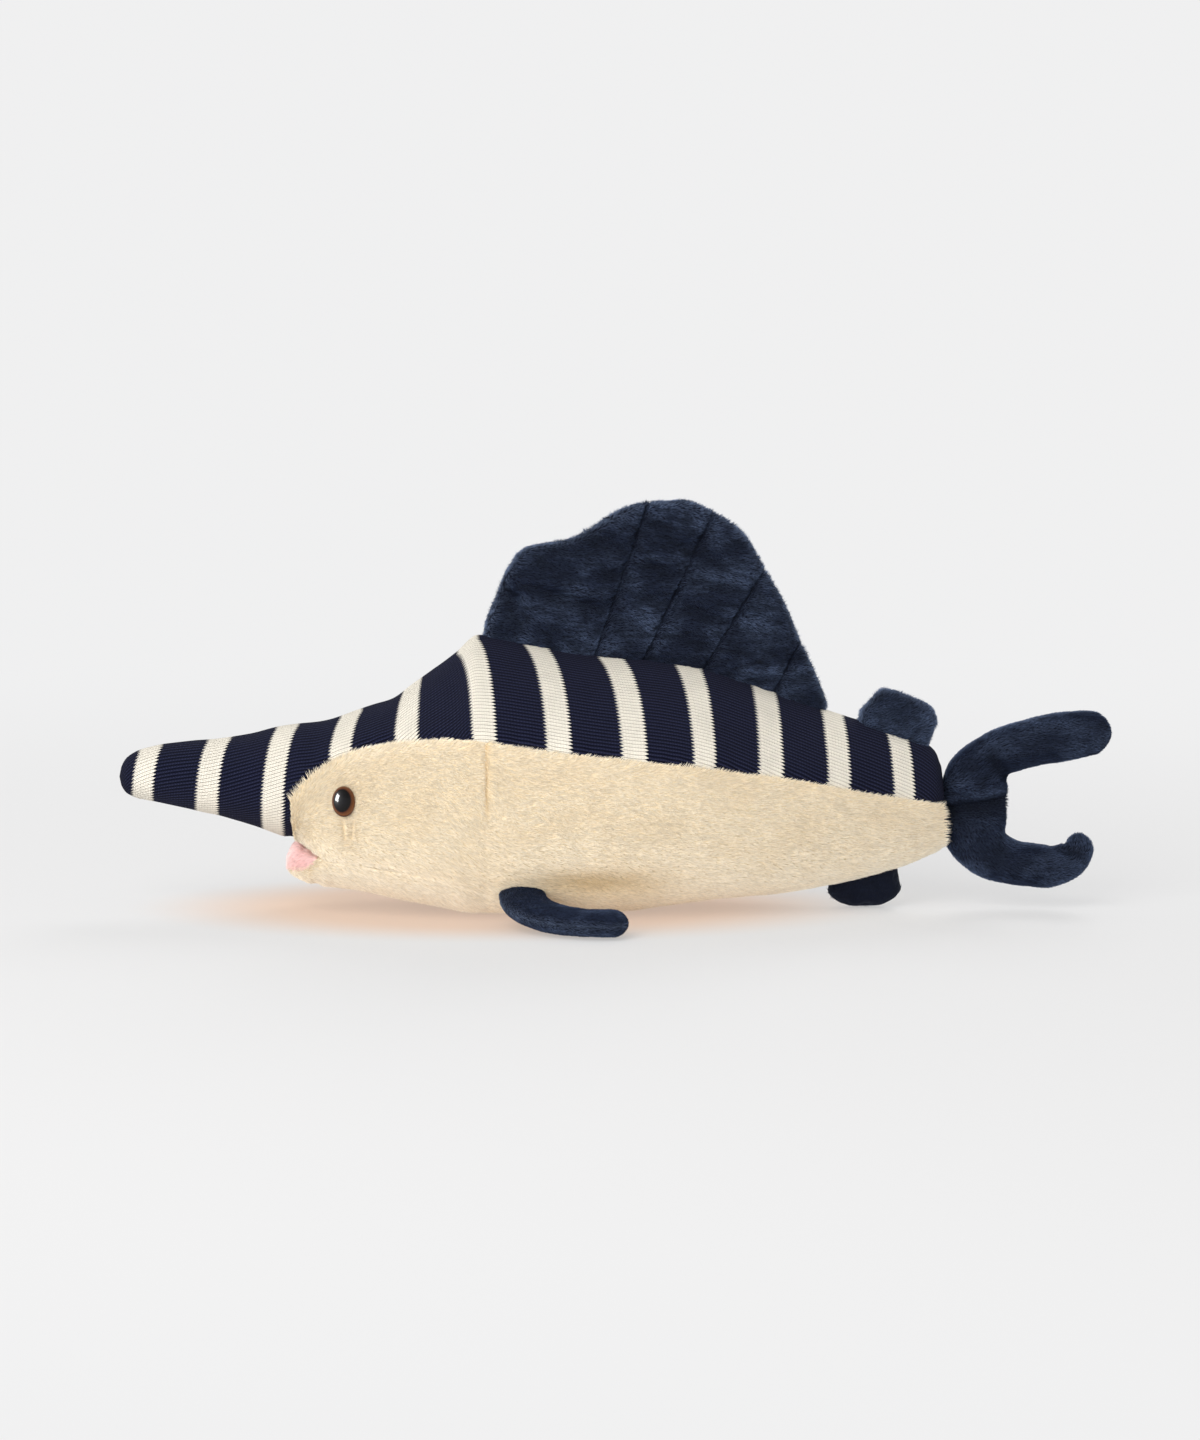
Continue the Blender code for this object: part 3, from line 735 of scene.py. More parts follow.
@dataclass(frozen=True)
class EyeFinish:
    """Glossy plastic: a black pupil in a brown ring, under a clear coat."""

    pupil_edge: float = 0.76
    ring_edge: float = 0.93

    def material(self) -> bpy.types.Material:
        """The eye's material, which reads how far out a point is from its middle, from 0 to 1."""
        bench = Cloth("eye_plastic")
        stops = [
            # The pupil's middle is a little lighter and bluer than its edge: a painted reflection.
            (0.0, (0.006, 0.006, 0.008, 1)), (self.pupil_edge - 0.04, (0.004, 0.003, 0.003, 1)),
            (self.pupil_edge + 0.03, (0.085, 0.026, 0.010, 1)), (self.ring_edge, (0.17, 0.062, 0.024, 1)),
            (1.0, (0.06, 0.02, 0.01, 1)),
        ]
        ring = bench.node("ShaderNodeValToRGB", {"stops": stops}, {0: bench.mark("ring")})
        fleck = bench.mottle(0.6)
        return bench.surface(
            Base_Color=bench.shade(ring, fleck * 0.5 + 0.75), Roughness=0.4, Coat_Weight=0.3, Coat_Roughness=0.02,
            Specular_IOR_Level=0.05,
        )


class PileCoat:
    """Tufts of pile over a skin, made by Geometry Nodes.

    The skin carries the marks lay (which way the pile lies), trim (how much it is shortened), coated (where it
    grows) and plot (which coat piece a face belongs to), and its own unwrap. The tufts' material reads five more:
    relief (from which it paints shade in folds and light on crests), seam (seams' lines, and painted shade in
    creases and hollows), rim (where edges get a painted rim light), calm (how even the pile is) and the share of
    the pile that gets the crushed-pile colour, a lighter painted sheen on navy.
    """

    TRIANGLES_EACH = 4
    MOST_TRIANGLES = 186_000
    BAKE_PATCH = 0.003  # width of a tuft's place on the bake map, against 1 for the whole map
    SWIRL_SCALE, CURL_SCALE = 95.0, 380.0  # noise that turns the pile in patches and tuft by tuft
    CURL_SHARE, STRAY_SHARE = 0.9, 0.22
    SHORTEST, LONGEST = 0.7, 1.25  # a tuft's length against the usual one

    def __init__(self, finish: PileFinish, slot: Slot) -> None:
        """Builds the tuft tree for one finish."""
        self.finish = finish
        self.slot = slot
        self.material = finish.tuft_material()
        self.tree = bpy.data.node_groups.new(finish.name + "_coat", "GeometryNodeTree")
        self.ids: dict[str, str] = {}
        self._build()

    def _socket(self, name: str, kind: str, in_out: str = "INPUT") -> None:
        """Declares a named socket of the tree."""
        item = self.tree.interface.new_socket(name, in_out=in_out, socket_type=kind)
        self.ids[name] = item.identifier

    def _build(self) -> None:
        """Makes the tree: scatter, stand a tuft on each place, realize and dress."""
        self._socket("Geometry", "NodeSocketGeometry")
        for name in ("Density", "Length", "Width", "Lift", "Unrest"):
            self._socket(name, "NodeSocketFloat")
        for name in ("Plot", "Seed"):
            self._socket(name, "NodeSocketInt")
        bench = Bench(self.tree)
        enter = self.tree.nodes.new("NodeGroupInput")
        given = {name: Signal(bench, enter.outputs[name]) for name in self.ids}
        self.tree.interface.new_socket("Geometry", in_out="OUTPUT", socket_type="NodeSocketGeometry")
        plot = bench.stored("plot", "INT")
        same = {"data_type": "INT", "operation": "EQUAL"}
        here = bench.node("FunctionNodeCompare", same, {2: plot, 3: given["Plot"]})
        scatter = bench.node(
            "GeometryNodeDistributePointsOnFaces", {"distribute_method": "RANDOM"},
            {"Mesh": given["Geometry"], "Selection": here, "Density": given["Density"], "Seed": given["Seed"]},
            "Points",
        )
        normal = Signal(bench, scatter.socket.node.outputs["Normal"])
        lay = bench.stored("lay", "FLOAT_VECTOR")
        loose = bench.node(
            "FunctionNodeRandomValue", {"data_type": "FLOAT_VECTOR"},
            {0: (-1.0, -1.0, -1.0), 1: (1.0, 1.0, 1.0), "Seed": 3},
        )
        swirl = bench.node("ShaderNodeTexNoise", {}, {"Scale": self.SWIRL_SCALE, "Detail": 2.0}, "Color")
        centred = bench.vector("SUBTRACT", swirl, (0.5, 0.5, 0.5))
        curl = bench.node("ShaderNodeTexNoise", {}, {"Scale": self.CURL_SCALE, "Detail": 1.0}, "Color")
        curled = bench.scaled(bench.vector("SUBTRACT", curl, (0.5, 0.5, 0.5)), self.CURL_SHARE)
        pushed = bench.vector("ADD", bench.scaled(centred, given["Unrest"] * 4), curled)
        stray = bench.scaled(loose, self.STRAY_SHARE)
        up = bench.scaled(normal, given["Lift"])
        lean = bench.vector("ADD", bench.vector("ADD", lay, pushed), stray)
        raised = bench.vector("DOT_PRODUCT", lean, normal, output="Value")
        flat = bench.vector("SUBTRACT", lean, bench.scaled(normal, raised))
        heading = bench.vector("ADD", bench.vector("NORMALIZE", flat), up)
        turn = bench.node("FunctionNodeAlignRotationToVector", {"axis": "Z"}, {"Vector": heading})
        around = {"axis": "X", "pivot_axis": "Z"}
        turn = bench.node("FunctionNodeAlignRotationToVector", around, {"Rotation": turn, "Vector": normal})
        lengths = {2: self.SHORTEST, 3: self.LONGEST, "Seed": 7}
        stretch = bench.node("FunctionNodeRandomValue", {"data_type": "FLOAT"}, lengths, 1)
        trim = bench.stored("trim")
        size = bench.node(
            "ShaderNodeCombineXYZ", {},
            {0: given["Width"], 1: given["Width"], 2: given["Length"] * stretch * (1 - trim)},
        )
        tufts = bench.node(
            "GeometryNodeInstanceOnPoints", {},
            {"Points": scatter, "Instance": self._tuft(bench), "Rotation": turn, "Scale": size},
        )
        tone = bench.node("FunctionNodeRandomValue", {"data_type": "FLOAT"}, {2: 0.0, 3: 1.0, "Seed": 11}, 1)
        tufts = self._store(bench, tufts, "FLOAT", "INSTANCE", "tone", tone)
        unwrap = bench.stored("OFBake", "FLOAT_VECTOR")
        tufts = self._store(bench, tufts, "FLOAT_VECTOR", "INSTANCE", "root_place", unwrap)
        whole = bench.node("GeometryNodeRealizeInstances", {}, {"Geometry": tufts})
        root = bench.stored("root_place", "FLOAT_VECTOR")
        patch = bench.stored("patch", "FLOAT_VECTOR")
        whole = self._store(bench, whole, "FLOAT2", "CORNER", "OFBake", bench.vector("ADD", root, patch))
        dressed = bench.node("GeometryNodeSetMaterial", {}, {"Geometry": whole, "Material": self.material})
        leave = self.tree.nodes.new("NodeGroupOutput")
        bench.feed(leave.inputs[0], dressed)

    def _tuft(self, bench: Bench) -> Signal:
        """One tuft: a thin three-sided spike, 1 long, with its place on the bake patch marked."""
        cone = bench.node(
            "GeometryNodeMeshCone", {"fill_type": "NGON"},
            {"Vertices": 3, "Side Segments": 1, "Radius Top": 0.0, "Radius Bottom": 0.5, "Depth": 1.0}, "Mesh",
        )
        place = bench.node("GeometryNodeInputPosition", {}, {})
        along = bench.node("ShaderNodeSeparateXYZ", {}, {0: place}, 2)
        aside = bench.node("ShaderNodeSeparateXYZ", {}, {0: place}, 1)
        bent = self._store(bench, cone, "FLOAT", "POINT", "along", along)
        corner = {0: (along - 0.5) * self.BAKE_PATCH, 1: aside * self.BAKE_PATCH, 2: 0.0}
        patch = bench.node("ShaderNodeCombineXYZ", {}, corner)
        return self._store(bench, bent, "FLOAT_VECTOR", "POINT", "patch", patch)

    @staticmethod
    def _store(bench: Bench, shape: Signal, data: str, domain: str, name: str, value: Signal) -> Signal:
        """Writes a named value on the geometry."""
        settings = {"data_type": data, "domain": domain}
        inputs = {"Geometry": shape, "Name": name, "Value": value}
        return bench.node("GeometryNodeStoreNamedAttribute", settings, inputs)

    def grow(self, skin: bpy.types.Object, unrest: float, seed: int) -> list[bpy.types.Object]:
        """Covers a skin with tufts, in as many pieces as keep each one light.

        Args:
            skin: The skin, with its marks.
            unrest: How far patches of pile turn from their lay.
            seed: The seed of the scatter.

        Returns:
            The coat pieces, each a plain mesh that rides on the body.
        """
        mark_relief(skin)
        plots = self._plots(skin)
        pile = self.finish
        made = []
        for plot in range(plots):
            modifier = skin.modifiers.new("Coat", "NODES")
            modifier.node_group = self.tree
            values = {
                "Density": pile.per_mm2 / MM**2, "Length": pile.length * MM, "Width": pile.width * MM,
                "Lift": pile.lift, "Unrest": unrest, "Plot": plot, "Seed": seed + plot,
            }
            for name, value in values.items():
                modifier[self.ids[name]] = value
            evaluated = skin.evaluated_get(bpy.context.evaluated_depsgraph_get())
            mesh = bpy.data.meshes.new_from_object(evaluated)
            skin.modifiers.remove(modifier)
            coat = in_scene(f"{skin.name}_pile_{plot + 1}", mesh)
            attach(coat, BODY)
            made.append(coat)
        tufts = sum(len(coat.data.polygons) for coat in made) // self.TRIANGLES_EACH
        log.info("%s: %d tufts in %d pieces", skin.name, tufts, plots)
        return made

    def _plots(self, skin: bpy.types.Object) -> int:
        """Splits the skin's coated faces along X into plots of equal area, and marks each face with its plot."""
        mesh = skin.data
        coated = numbers_of(mesh.attributes["coated"].data, "value")
        areas = numbers_of(mesh.polygons, "area") * (coated > 0.5)
        tufts = areas.sum() / MM**2 * self.finish.per_mm2
        plots = max(1, math.ceil(tufts * self.TRIANGLES_EACH / self.MOST_TRIANGLES))
        order = np.argsort(numbers_of(mesh.polygons, "center", 3)[0::3], kind="stable")
        share = np.empty(len(order))
        share[order] = np.cumsum(areas[order]) / max(areas.sum(), LEAST_LENGTH)
        plot = np.minimum((share * plots).astype(np.int32), plots - 1)
        plot[coated < 0.5] = -1
        mark = mesh.attributes.get("plot") or mesh.attributes.new("plot", "INT", "FACE")
        mark.data.foreach_set("value", plot)
        return plots


@dataclass
class KnitCover:
    """The striped knit over the bill, the crown and the back, down to the side seams."""

    side_columns: int = 40
    lower_columns: int = 26
    bill_rows: int = 54
    back_rows: int = 200
    rib_pitch: float = 1.3
    course_pitch: float = 1.05
    seam_dip: float = 1.5
    end_dip: float = 1.2
    pucker_depth: float = 0.22
    lump_depth: float = 0.45
    layers: Triples = ((1.0, 17, 7.7), (0.4, 7, 1.3))
    tip_calm: float = 12.0
    first_stripe: float = -173.5
    stripe_count: int = 12
    stripe_pitch: Line = Line((
        (-173, 25), (-125, 25), (-112, 23), (-88, 23), (-67, 19), (-45, 25), (-20, 27), (35, 28), (62, 25), (98, 23),
    ))
    stripe_lean: Line = Line((
        (-173, -4), (-148, -5), (-99, -5), (-76, -3), (-58, 6), (-33, 8), (-6, 8), (22, 6), (49, 2), (75, 2), (98, 3),
    ))
    lean_from: float = 4.0
    lean_full: float = 44.0
    lean_rounds: int = 12
    lean_reach: float = 22.0

    def course_start(self, x: np.ndarray, arc: np.ndarray) -> np.ndarray:
        """Where on the ridge the course of stitches through each point starts."""
        fade = 1 - np.exp(-np.maximum(arc - self.lean_from, 0) / self.lean_reach)
        fade = fade / (1 - np.exp(-(self.lean_full - self.lean_from) / self.lean_reach))
        start = x.copy()
        for _ in range(self.lean_rounds):
            start = (start + x - self.stripe_lean.at(start) * fade) / 2
        return start

    def stripes(self, start: np.ndarray) -> np.ndarray:
        """The stripe count at a place on the ridge, whole at a cream stripe's first edge."""
        x = np.linspace(BILL_TIP_X - 12, BODY_END_X + 12, 600)
        turns = np.concatenate([[0.0], np.cumsum(np.diff(x) / self.stripe_pitch.at(x[1:]))])
        count = 1 + np.interp(start, x, turns) - np.interp(self.first_stripe, x, turns)
        return np.minimum(count, self.stripe_count + 0.96)

    def build(self) -> bpy.types.Object:
        """Makes the cover.

        Returns:
            The knit cover as one closed piece.
        """
        bill = BILL_TIP_X + (FACE_FRONT_X - BILL_TIP_X) * np.linspace(0, 1, self.bill_rows) ** 1.35
        back = np.linspace(FACE_FRONT_X, BODY_END_X, self.back_rows + 1)[1:]
        row_x = np.concatenate([bill, back])
        seam_x = np.maximum(row_x, FACE_FRONT_X)
        seam = FORM.angle_at(seam_x, FORM.side_seam.at(seam_x))
        under = np.linspace(0, 1, self.lower_columns + 1)[:-1]
        over = np.linspace(0, 1, self.side_columns + 1)
        angle = np.concatenate([
            -RIGHT_ANGLE + (seam[:, None] + RIGHT_ANGLE) * under,
            seam[:, None] + (RIGHT_ANGLE - seam[:, None]) * over,
        ], axis=1)
        x = np.broadcast_to(row_x[:, None], angle.shape)
        points = FORM.point(x, angle)
        points[:, -1, 1] = 0.0
        arc = FORM.arc_from_ridge(x, angle)
        start = self.course_start(x, arc)
        points = np.concatenate([points * (1, -1, 1), points[:, -2::-1]], axis=1)
        arc = np.concatenate([arc, arc[:, -2::-1]], axis=1)
        start = np.concatenate([start, start[:, -2::-1]], axis=1)
        outward = points - np.array([0, 0, 40.0])
        outward[..., 0] = -0.2
        normals = sheet_normals(points, outward)
        normals[0] = (-1, 0, 0)
        to_seam = np.abs(points[..., 2] - FORM.side_seam.at(points[..., 0]))
        to_seam = to_seam + FAR * (points[..., 0] < FACE_FRONT_X)
        to_face = np.abs(FACE_FRONT_X - points[..., 0]) + np.clip(points[..., 2] - 43, 0, FAR)
        to_edge = np.minimum(to_seam, to_face)
        to_end = BODY_END_X - points[..., 0]
        pucker = np.sin(start * 0.9 + 2 * lumps(points, 14, 3.1)) * hump(to_edge, 5.0) * self.pucker_depth
        dip = self.seam_dip * hump(to_edge, 1.9) + self.end_dip * hump(to_end, 2.2)
        lump = self.lump_depth * (bumps(points, self.layers) - 0.5)
        calm = np.clip((points[..., 0] - BILL_TIP_X) / self.tip_calm, 0, 1)
        points = points + normals * (lump * calm + pucker - dip)[..., None]
        points[: self.bill_rows, (0, -1), 1] = 0.0
        rows, columns = points.shape[:2]
        ridge_run = self._ridge_length(start)
        side = np.where(np.arange(columns) < columns // 2, -1.0, 1.0)
        knit = np.stack([ridge_run / self.course_pitch, side * arc / self.rib_pitch], axis=-1)
        marks = {"stripe": self.stripes(start), "knit": knit}
        first, last = self.lower_columns, columns - 1 - self.lower_columns
        kept = np.ones((rows - 1, columns - 1), dtype=bool)
        kept[self.bill_rows - 1:, :first] = False
        kept[self.bill_rows - 1:, last:] = False
        draft = Draft()
        numbers = draft.sheet(points, pattern_square(rows, columns), marks, kept)
        front = numbers[self.bill_rows - 1]
        under_bill = np.concatenate([front[last:-1], front[: first + 1]])
        draft.cap(numbers[0, :-1], numbers[-1, first:last + 1], under_bill)
        draft.strip(numbers[self.bill_rows - 1:, first], numbers[self.bill_rows - 1:, last])
        cover = draft.piece("knit_cover")
        self._knit_map(cover)
        cover.data.materials.append(KnitFinish().material())
        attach(cover, BODY)
        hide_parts("bill", "crown", "back")
        return cover

    @staticmethod
    def _ridge_length(start: np.ndarray) -> np.ndarray:
        """The length over the ridge from the bill's tip to each place on it."""
        x = np.linspace(BILL_TIP_X - 12, BODY_END_X + 12, 600)
        run = np.concatenate([[0.0], np.cumsum(np.hypot(np.diff(x), np.diff(FORM.top.at(x))))])
        return np.interp(start, x, run)

    @staticmethod
    def _knit_map(cover: bpy.types.Object) -> None:
        """Turns the knit mark into the Knit map that the material reads."""
        mesh = cover.data
        corners = numbers_of(mesh.loops, "vertex_index", kind=np.int32)
        values = numbers_of(mesh.attributes["knit"].data, "vector", 2, np.float32)
        layer = mesh.uv_layers.new(name="Knit")
        layer.data.foreach_set("uv", values.reshape(-1, 2)[corners].ravel())


class Panel(Enum):
    """The cream panels of the body."""

    FACE = "face"
    BELLY = "belly"
    CHIN = "lower_jaw"


@dataclass
class PlushBody:
    """The cream panels under the knit: face, belly and chin, each a closed piece with its pile.

    The eye folds are (x at z 33, lean, half width, depth). The fin dent is (x, z), like its reach.
    """

    skin_depth: float = 1.2
    lip_depth: float = 0.4
    front_depth: float = 0.7
    clearance: float = 0.7
    layers: Triples = ((0.3, 21, 4.2), (0.16, 8, 2.9))
    row_step: float = 1.0
    side_columns: int = 40
    fin_dent: tuple[float, float] = (-10.0, 13.5)
    fin_dent_reach: tuple[float, float] = (26.0, 6.5)
    flare_x: float = -113.0
    flare_reach: float = 5.0
    flare_share: float = 0.8
    flare_rounds: int = 14
    eye_fold_z: float = 32.5
    eye_fold_reach: float = 6.0
    eye_folds: tuple[tuple[float, float, float, float], ...] = (
        (-98.6, -0.12, 1.1, 1.0), (-95.4, 0.1, 1.0, 0.8),
    )
    jaw_power: float = 2.1
    jaw_blend: tuple[float, float] = (-112.5, -101.5)
    jaw_bottom: Line = Line((
        (-119.8, 15.6), (-118.6, 13.5), (-115.4, 11.4), (-111, 9.6), (-107, 8.8), (-100, 7.8),
    ))
    jaw_half_width: Line = Line((
        (-119.8, 3.5), (-118.6, 8.5), (-115.4, 13.6), (-111, 17.6), (-107, 20.4), (-100, 23.5),
    ))
    lip: Line = Line(((-119.8, 17), (-115.4, 17.4), (-112, 18.1), (-109, 19.6), (-107, 20.9), (-96, 19.2)))

    def surface(self, panel: Panel, x: np.ndarray, angle: np.ndarray, share: np.ndarray) -> np.ndarray:
        """Points of a panel's skin before its seams are drawn in.

        Args:
            panel: Which panel.
            x: Places along the body.
            angle: The body's angle at each point.
            share: How far each point is from the panel's lower end to its upper edge, from 0 to 1.

        Returns:
            Points on the +Y side.
        """
        points = FORM.point(x, angle)
        if panel is not Panel.CHIN:
            return points
        bottom = self.jaw_bottom.at(x)
        lip = self.lip.at(x) - GAP / 2
        turn = -RIGHT_ANGLE * (1 - share)
        power = 2 / self.jaw_power
        width = self.jaw_half_width.at(x) * np.abs(np.cos(turn)) ** power
        height = lip + (bottom - lip) * np.abs(np.sin(turn)) ** power
        jaw = np.stack([np.broadcast_to(x, width.shape), width, height], axis=-1)
        whole = ease((x - self.jaw_blend[0]) / (self.jaw_blend[1] - self.jaw_blend[0]))[..., None]
        return jaw * (1 - whole) + points * whole

    def groove(self, points: np.ndarray) -> np.ndarray:
        """How deep the seams draw the skin in at each point."""
        x, z = points[..., 0], points[..., 2]
        side = np.abs(z - FORM.side_seam.at(x))
        chin = np.abs(z - FORM.chin_seam.at(x)) + FAR * (x > GILL_SEAM_X) + FAR * (np.abs(points[..., 1]) < 2)
        end = BODY_END_X - x
        front = np.abs(x - FACE_FRONT_X) + np.clip(24 - z, 0, FAR)
        eye = np.hypot((x - ToyEye.x) / ToyEye.half_width, (z - ToyEye.z) / ToyEye.half_height)
        return (
            0.2 * hump(side, 1.8) + 0.45 * hump(chin, 1.8) * ease((-50 - x) / 30)
            + 0.35 * self._gill(points) + 0.6 * hump(end, 2.2) + 0.1 * hump(front, 1.8)
            + 0.5 * hump(eye - 0.9, 0.5) + 2.0 * self._over_fin(points)
        )

    def _over_fin(self, points: np.ndarray) -> np.ndarray:
        """How near each point is to the dent above the side fin, where the belly is drawn in and painted shade is
        laid.
        """
        off = (points[..., (0, 2)] - np.array(self.fin_dent)) / np.array(self.fin_dent_reach)
        return np.exp(-(off[..., 0] ** 2) - (off[..., 1] ** 2))

    @staticmethod
    def _gill(points: np.ndarray) -> np.ndarray:
        """How near each point is to the gill seam, which fades towards the belly."""
        x, z = points[..., 0], points[..., 2]
        return hump(x - GILL_SEAM_X, 1.1) * ease((z - 34) / 18)

    def skin(self, panel: Panel, points: np.ndarray) -> tuple[np.ndarray, dict[str, np.ndarray]]:
        """Draws a panel's points in to its skin.

        Args:
            panel: Which panel.
            points: Rows and columns of points on the CAD surface, on one side or across the belly.

        Returns:
            The skin's points, and their marks: how the pile lies, where it is shortened and where a seam's line and
            painted shade darken it.
        """
        outward = points - np.array([0, 0, 38.0])
        outward[..., 0] = 0
        if panel is Panel.CHIN:
            outward = points - np.array([-70.0, 0, 22.0])
            outward[..., 0] *= 0.2
        normals = sheet_normals(points, outward)
        wrinkles = bumps(points, self.layers)
        if panel is Panel.FACE:
            wrinkles -= self._under_eye(points)
        depth = np.full(points.shape[:2], self.skin_depth)
        if panel is Panel.CHIN:
            depth = self.lip_depth + (self.skin_depth - self.lip_depth) * ease((points[..., 0] + 100) / 40)
        if panel is Panel.FACE:
            to_full = ease((points[..., 0] - FACE_FRONT_X) / 12)
            depth = self.front_depth + (self.skin_depth - self.front_depth) * to_full
            points = self._softened(points)
        moved = points + normals * (wrinkles - depth - self.groove(points))[..., None]
        moved[..., 2] = np.maximum(moved[..., 2], self.clearance + 0.25 * lumps(points, 9, 8.8))
        x, z = points[..., 0], points[..., 2]
        seam = FORM.side_seam.at(x) - z
        trim = (0.1 + 0.2 * ease(x / 80) - 0.35 * ease((-85 - x) / 25)) * hump(seam, 2.2)
        trim = trim + 0.25 * self._gill(points) - 0.25 * hump(x - BODY_END_X, 3.0)
        # The gill seam's line, partly the seam and partly painted shade in its groove, with painted shade above the
        # side fin and along the folds under the eyes.
        seam_and_painted_shade = hump(x - GILL_SEAM_X, 0.7) * ease((z - 36) / 12) + 0.9 * self._over_fin(points)
        if panel is Panel.FACE:
            seam_and_painted_shade = seam_and_painted_shade + 0.45 * self._under_eye(points)
        marks = {"lay": self._lay(panel, points), "seam": np.minimum(seam_and_painted_shade, 1.0), "trim": np.minimum(trim, 0.6)}
        return moved, marks

    def _lay(self, panel: Panel, points: np.ndarray) -> np.ndarray:
        """Which way the pile lies: aft and a little down, with its own way at the gill, the seam and the brow."""
        x, z = points[..., 0], points[..., 2]
        along = unit(np.gradient(points, axis=0))
        along *= np.where(along[..., :1] < 0, -1, 1)
        sag = -0.04 - 0.14 * ease((z - 30) / 40)
        lay = along + np.stack([np.zeros_like(sag), np.zeros_like(sag), sag], axis=-1)
        front = ease((-85 - x) / 25)
        over_seam = (0.9 - 0.35 * ease(x / 80)) * hump(FORM.side_seam.at(x) - z, 2.4)
        seam_way = np.stack([0.35 - 0.95 * front, np.zeros_like(front), 0.9 - 0.1 * front], axis=-1)
        brow = 0.6 * hump(x - FACE_FRONT_X, 2.6) * ease((z - 26) / 9) * (panel is Panel.FACE)
        gill_way, brow_way = np.array([0.1, 0.0, -1.0]), np.array([-0.35, 0.0, 0.8])
        for share, way in ((self._gill(points), gill_way), (over_seam, seam_way), (brow, brow_way)):
            lay = lay * (1 - share[..., None]) + way * share[..., None]
        return unit(lay)

    def _softened(self, points: np.ndarray) -> np.ndarray:
        """The face's points with its flare behind the bill rounded."""
        weight = hump(points[1:-1, 1:-1, :1] - self.flare_x, self.flare_reach) * self.flare_share
        points = points.copy()
        for _ in range(self.flare_rounds):
            around = (points[:-2, 1:-1] + points[2:, 1:-1] + points[1:-1, :-2] + points[1:-1, 2:]) / 4
            points[1:-1, 1:-1] += (around - points[1:-1, 1:-1]) * weight
        return points

    def _under_eye(self, points: np.ndarray) -> np.ndarray:
        """The small upright folds below each eye, where its washer pulls the cloth; painted shade is laid along them
        too.
        """
        x, z = points[..., 0], points[..., 2]
        folds = sum(depth * hump(x - fold - lean * (z - 33), width) for fold, lean, width, depth in self.eye_folds)
        return hump(z - self.eye_fold_z, self.eye_fold_reach) * folds

    def build(self, panel: Panel, coat: PileCoat) -> bpy.types.Object:
        """Makes a panel and grows its pile.

        Args:
            panel: Which panel.
            coat: The coat that covers it.

        Returns:
            The panel's skin as one closed piece.
        """
        start, end = {
            Panel.FACE: (FACE_FRONT_X + 0.05, GILL_SEAM_X),
            Panel.BELLY: (GILL_SEAM_X, BODY_END_X),
            Panel.CHIN: (LIP_X, GILL_SEAM_X),
        }[panel]
        x = np.linspace(start, end, round((end - start) / self.row_step) + 1)
        if panel is Panel.CHIN:
            nose = LIP_X + np.array([0.0, 0.12, 0.4, 0.9])
            x = np.concatenate([nose, x[1:][x[1:] > nose[-1] + 0.4]])
        side = FORM.angle_at(x, FORM.side_seam.at(x) - GAP / 2)
        chin = FORM.angle_at(x, FORM.chin_seam.at(np.minimum(x, GILL_SEAM_X)) + GAP / 2)
        low = {Panel.FACE: chin}.get(panel, np.full_like(x, -RIGHT_ANGLE))
        high = {Panel.CHIN: chin}.get(panel, side)
        share = np.linspace(0, 1, self.side_columns + 1)
        angle = low[:, None] + (high - low)[:, None] * share
        places = np.broadcast_to(x[:, None], angle.shape)
        right = self.surface(panel, places, angle, np.broadcast_to(share, angle.shape))
        draft = Draft()
        if panel is Panel.FACE:
            self._two_walls(draft, right)
        else:
            self._trough(draft, panel, right)
        skin = draft.piece(panel.value + "_cover")
        skin.data.materials.append(CREAM_PILE.ground_material())
        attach(skin, BODY)
        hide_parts(panel.value)
        coat.grow(skin, unrest=0.2, seed=40)
        return skin

    def _two_walls(self, draft: Draft, right: np.ndarray) -> None:
        """Draws the face: a wall on each side, closed above, below and at both ends."""
        half = pattern_square(*right.shape[:2]) * (1, 0.5)
        points, marks = self.skin(Panel.FACE, right)
        mirrored = {**marks, "lay": marks["lay"] * (1, -1, 1)}
        one = draft.sheet(points, half, marks)
        other = draft.sheet(points * (1, -1, 1), half + (0, 0.5), mirrored)
        draft.strip(one[:, 0], other[:, 0])
        draft.strip(one[:, -1], other[:, -1])
        draft.cap(*(np.concatenate([one[row], other[row, ::-1]]) for row in (0, -1)))

    def _trough(self, draft: Draft, panel: Panel, right: np.ndarray) -> None:
        """Draws the belly or the chin: one sheet under the body, closed above and at both ends."""
        across = np.concatenate([right[:, ::-1], right[:, 1:] * (1, -1, 1)], axis=1)
        across[:, right.shape[1] - 1, 1] = 0.0
        points, marks = self.skin(panel, across)
        numbers = draft.sheet(points, pattern_square(*points.shape[:2]), marks)
        draft.strip(numbers[:, 0], numbers[:, -1])
        draft.cap(numbers[0], numbers[-1])


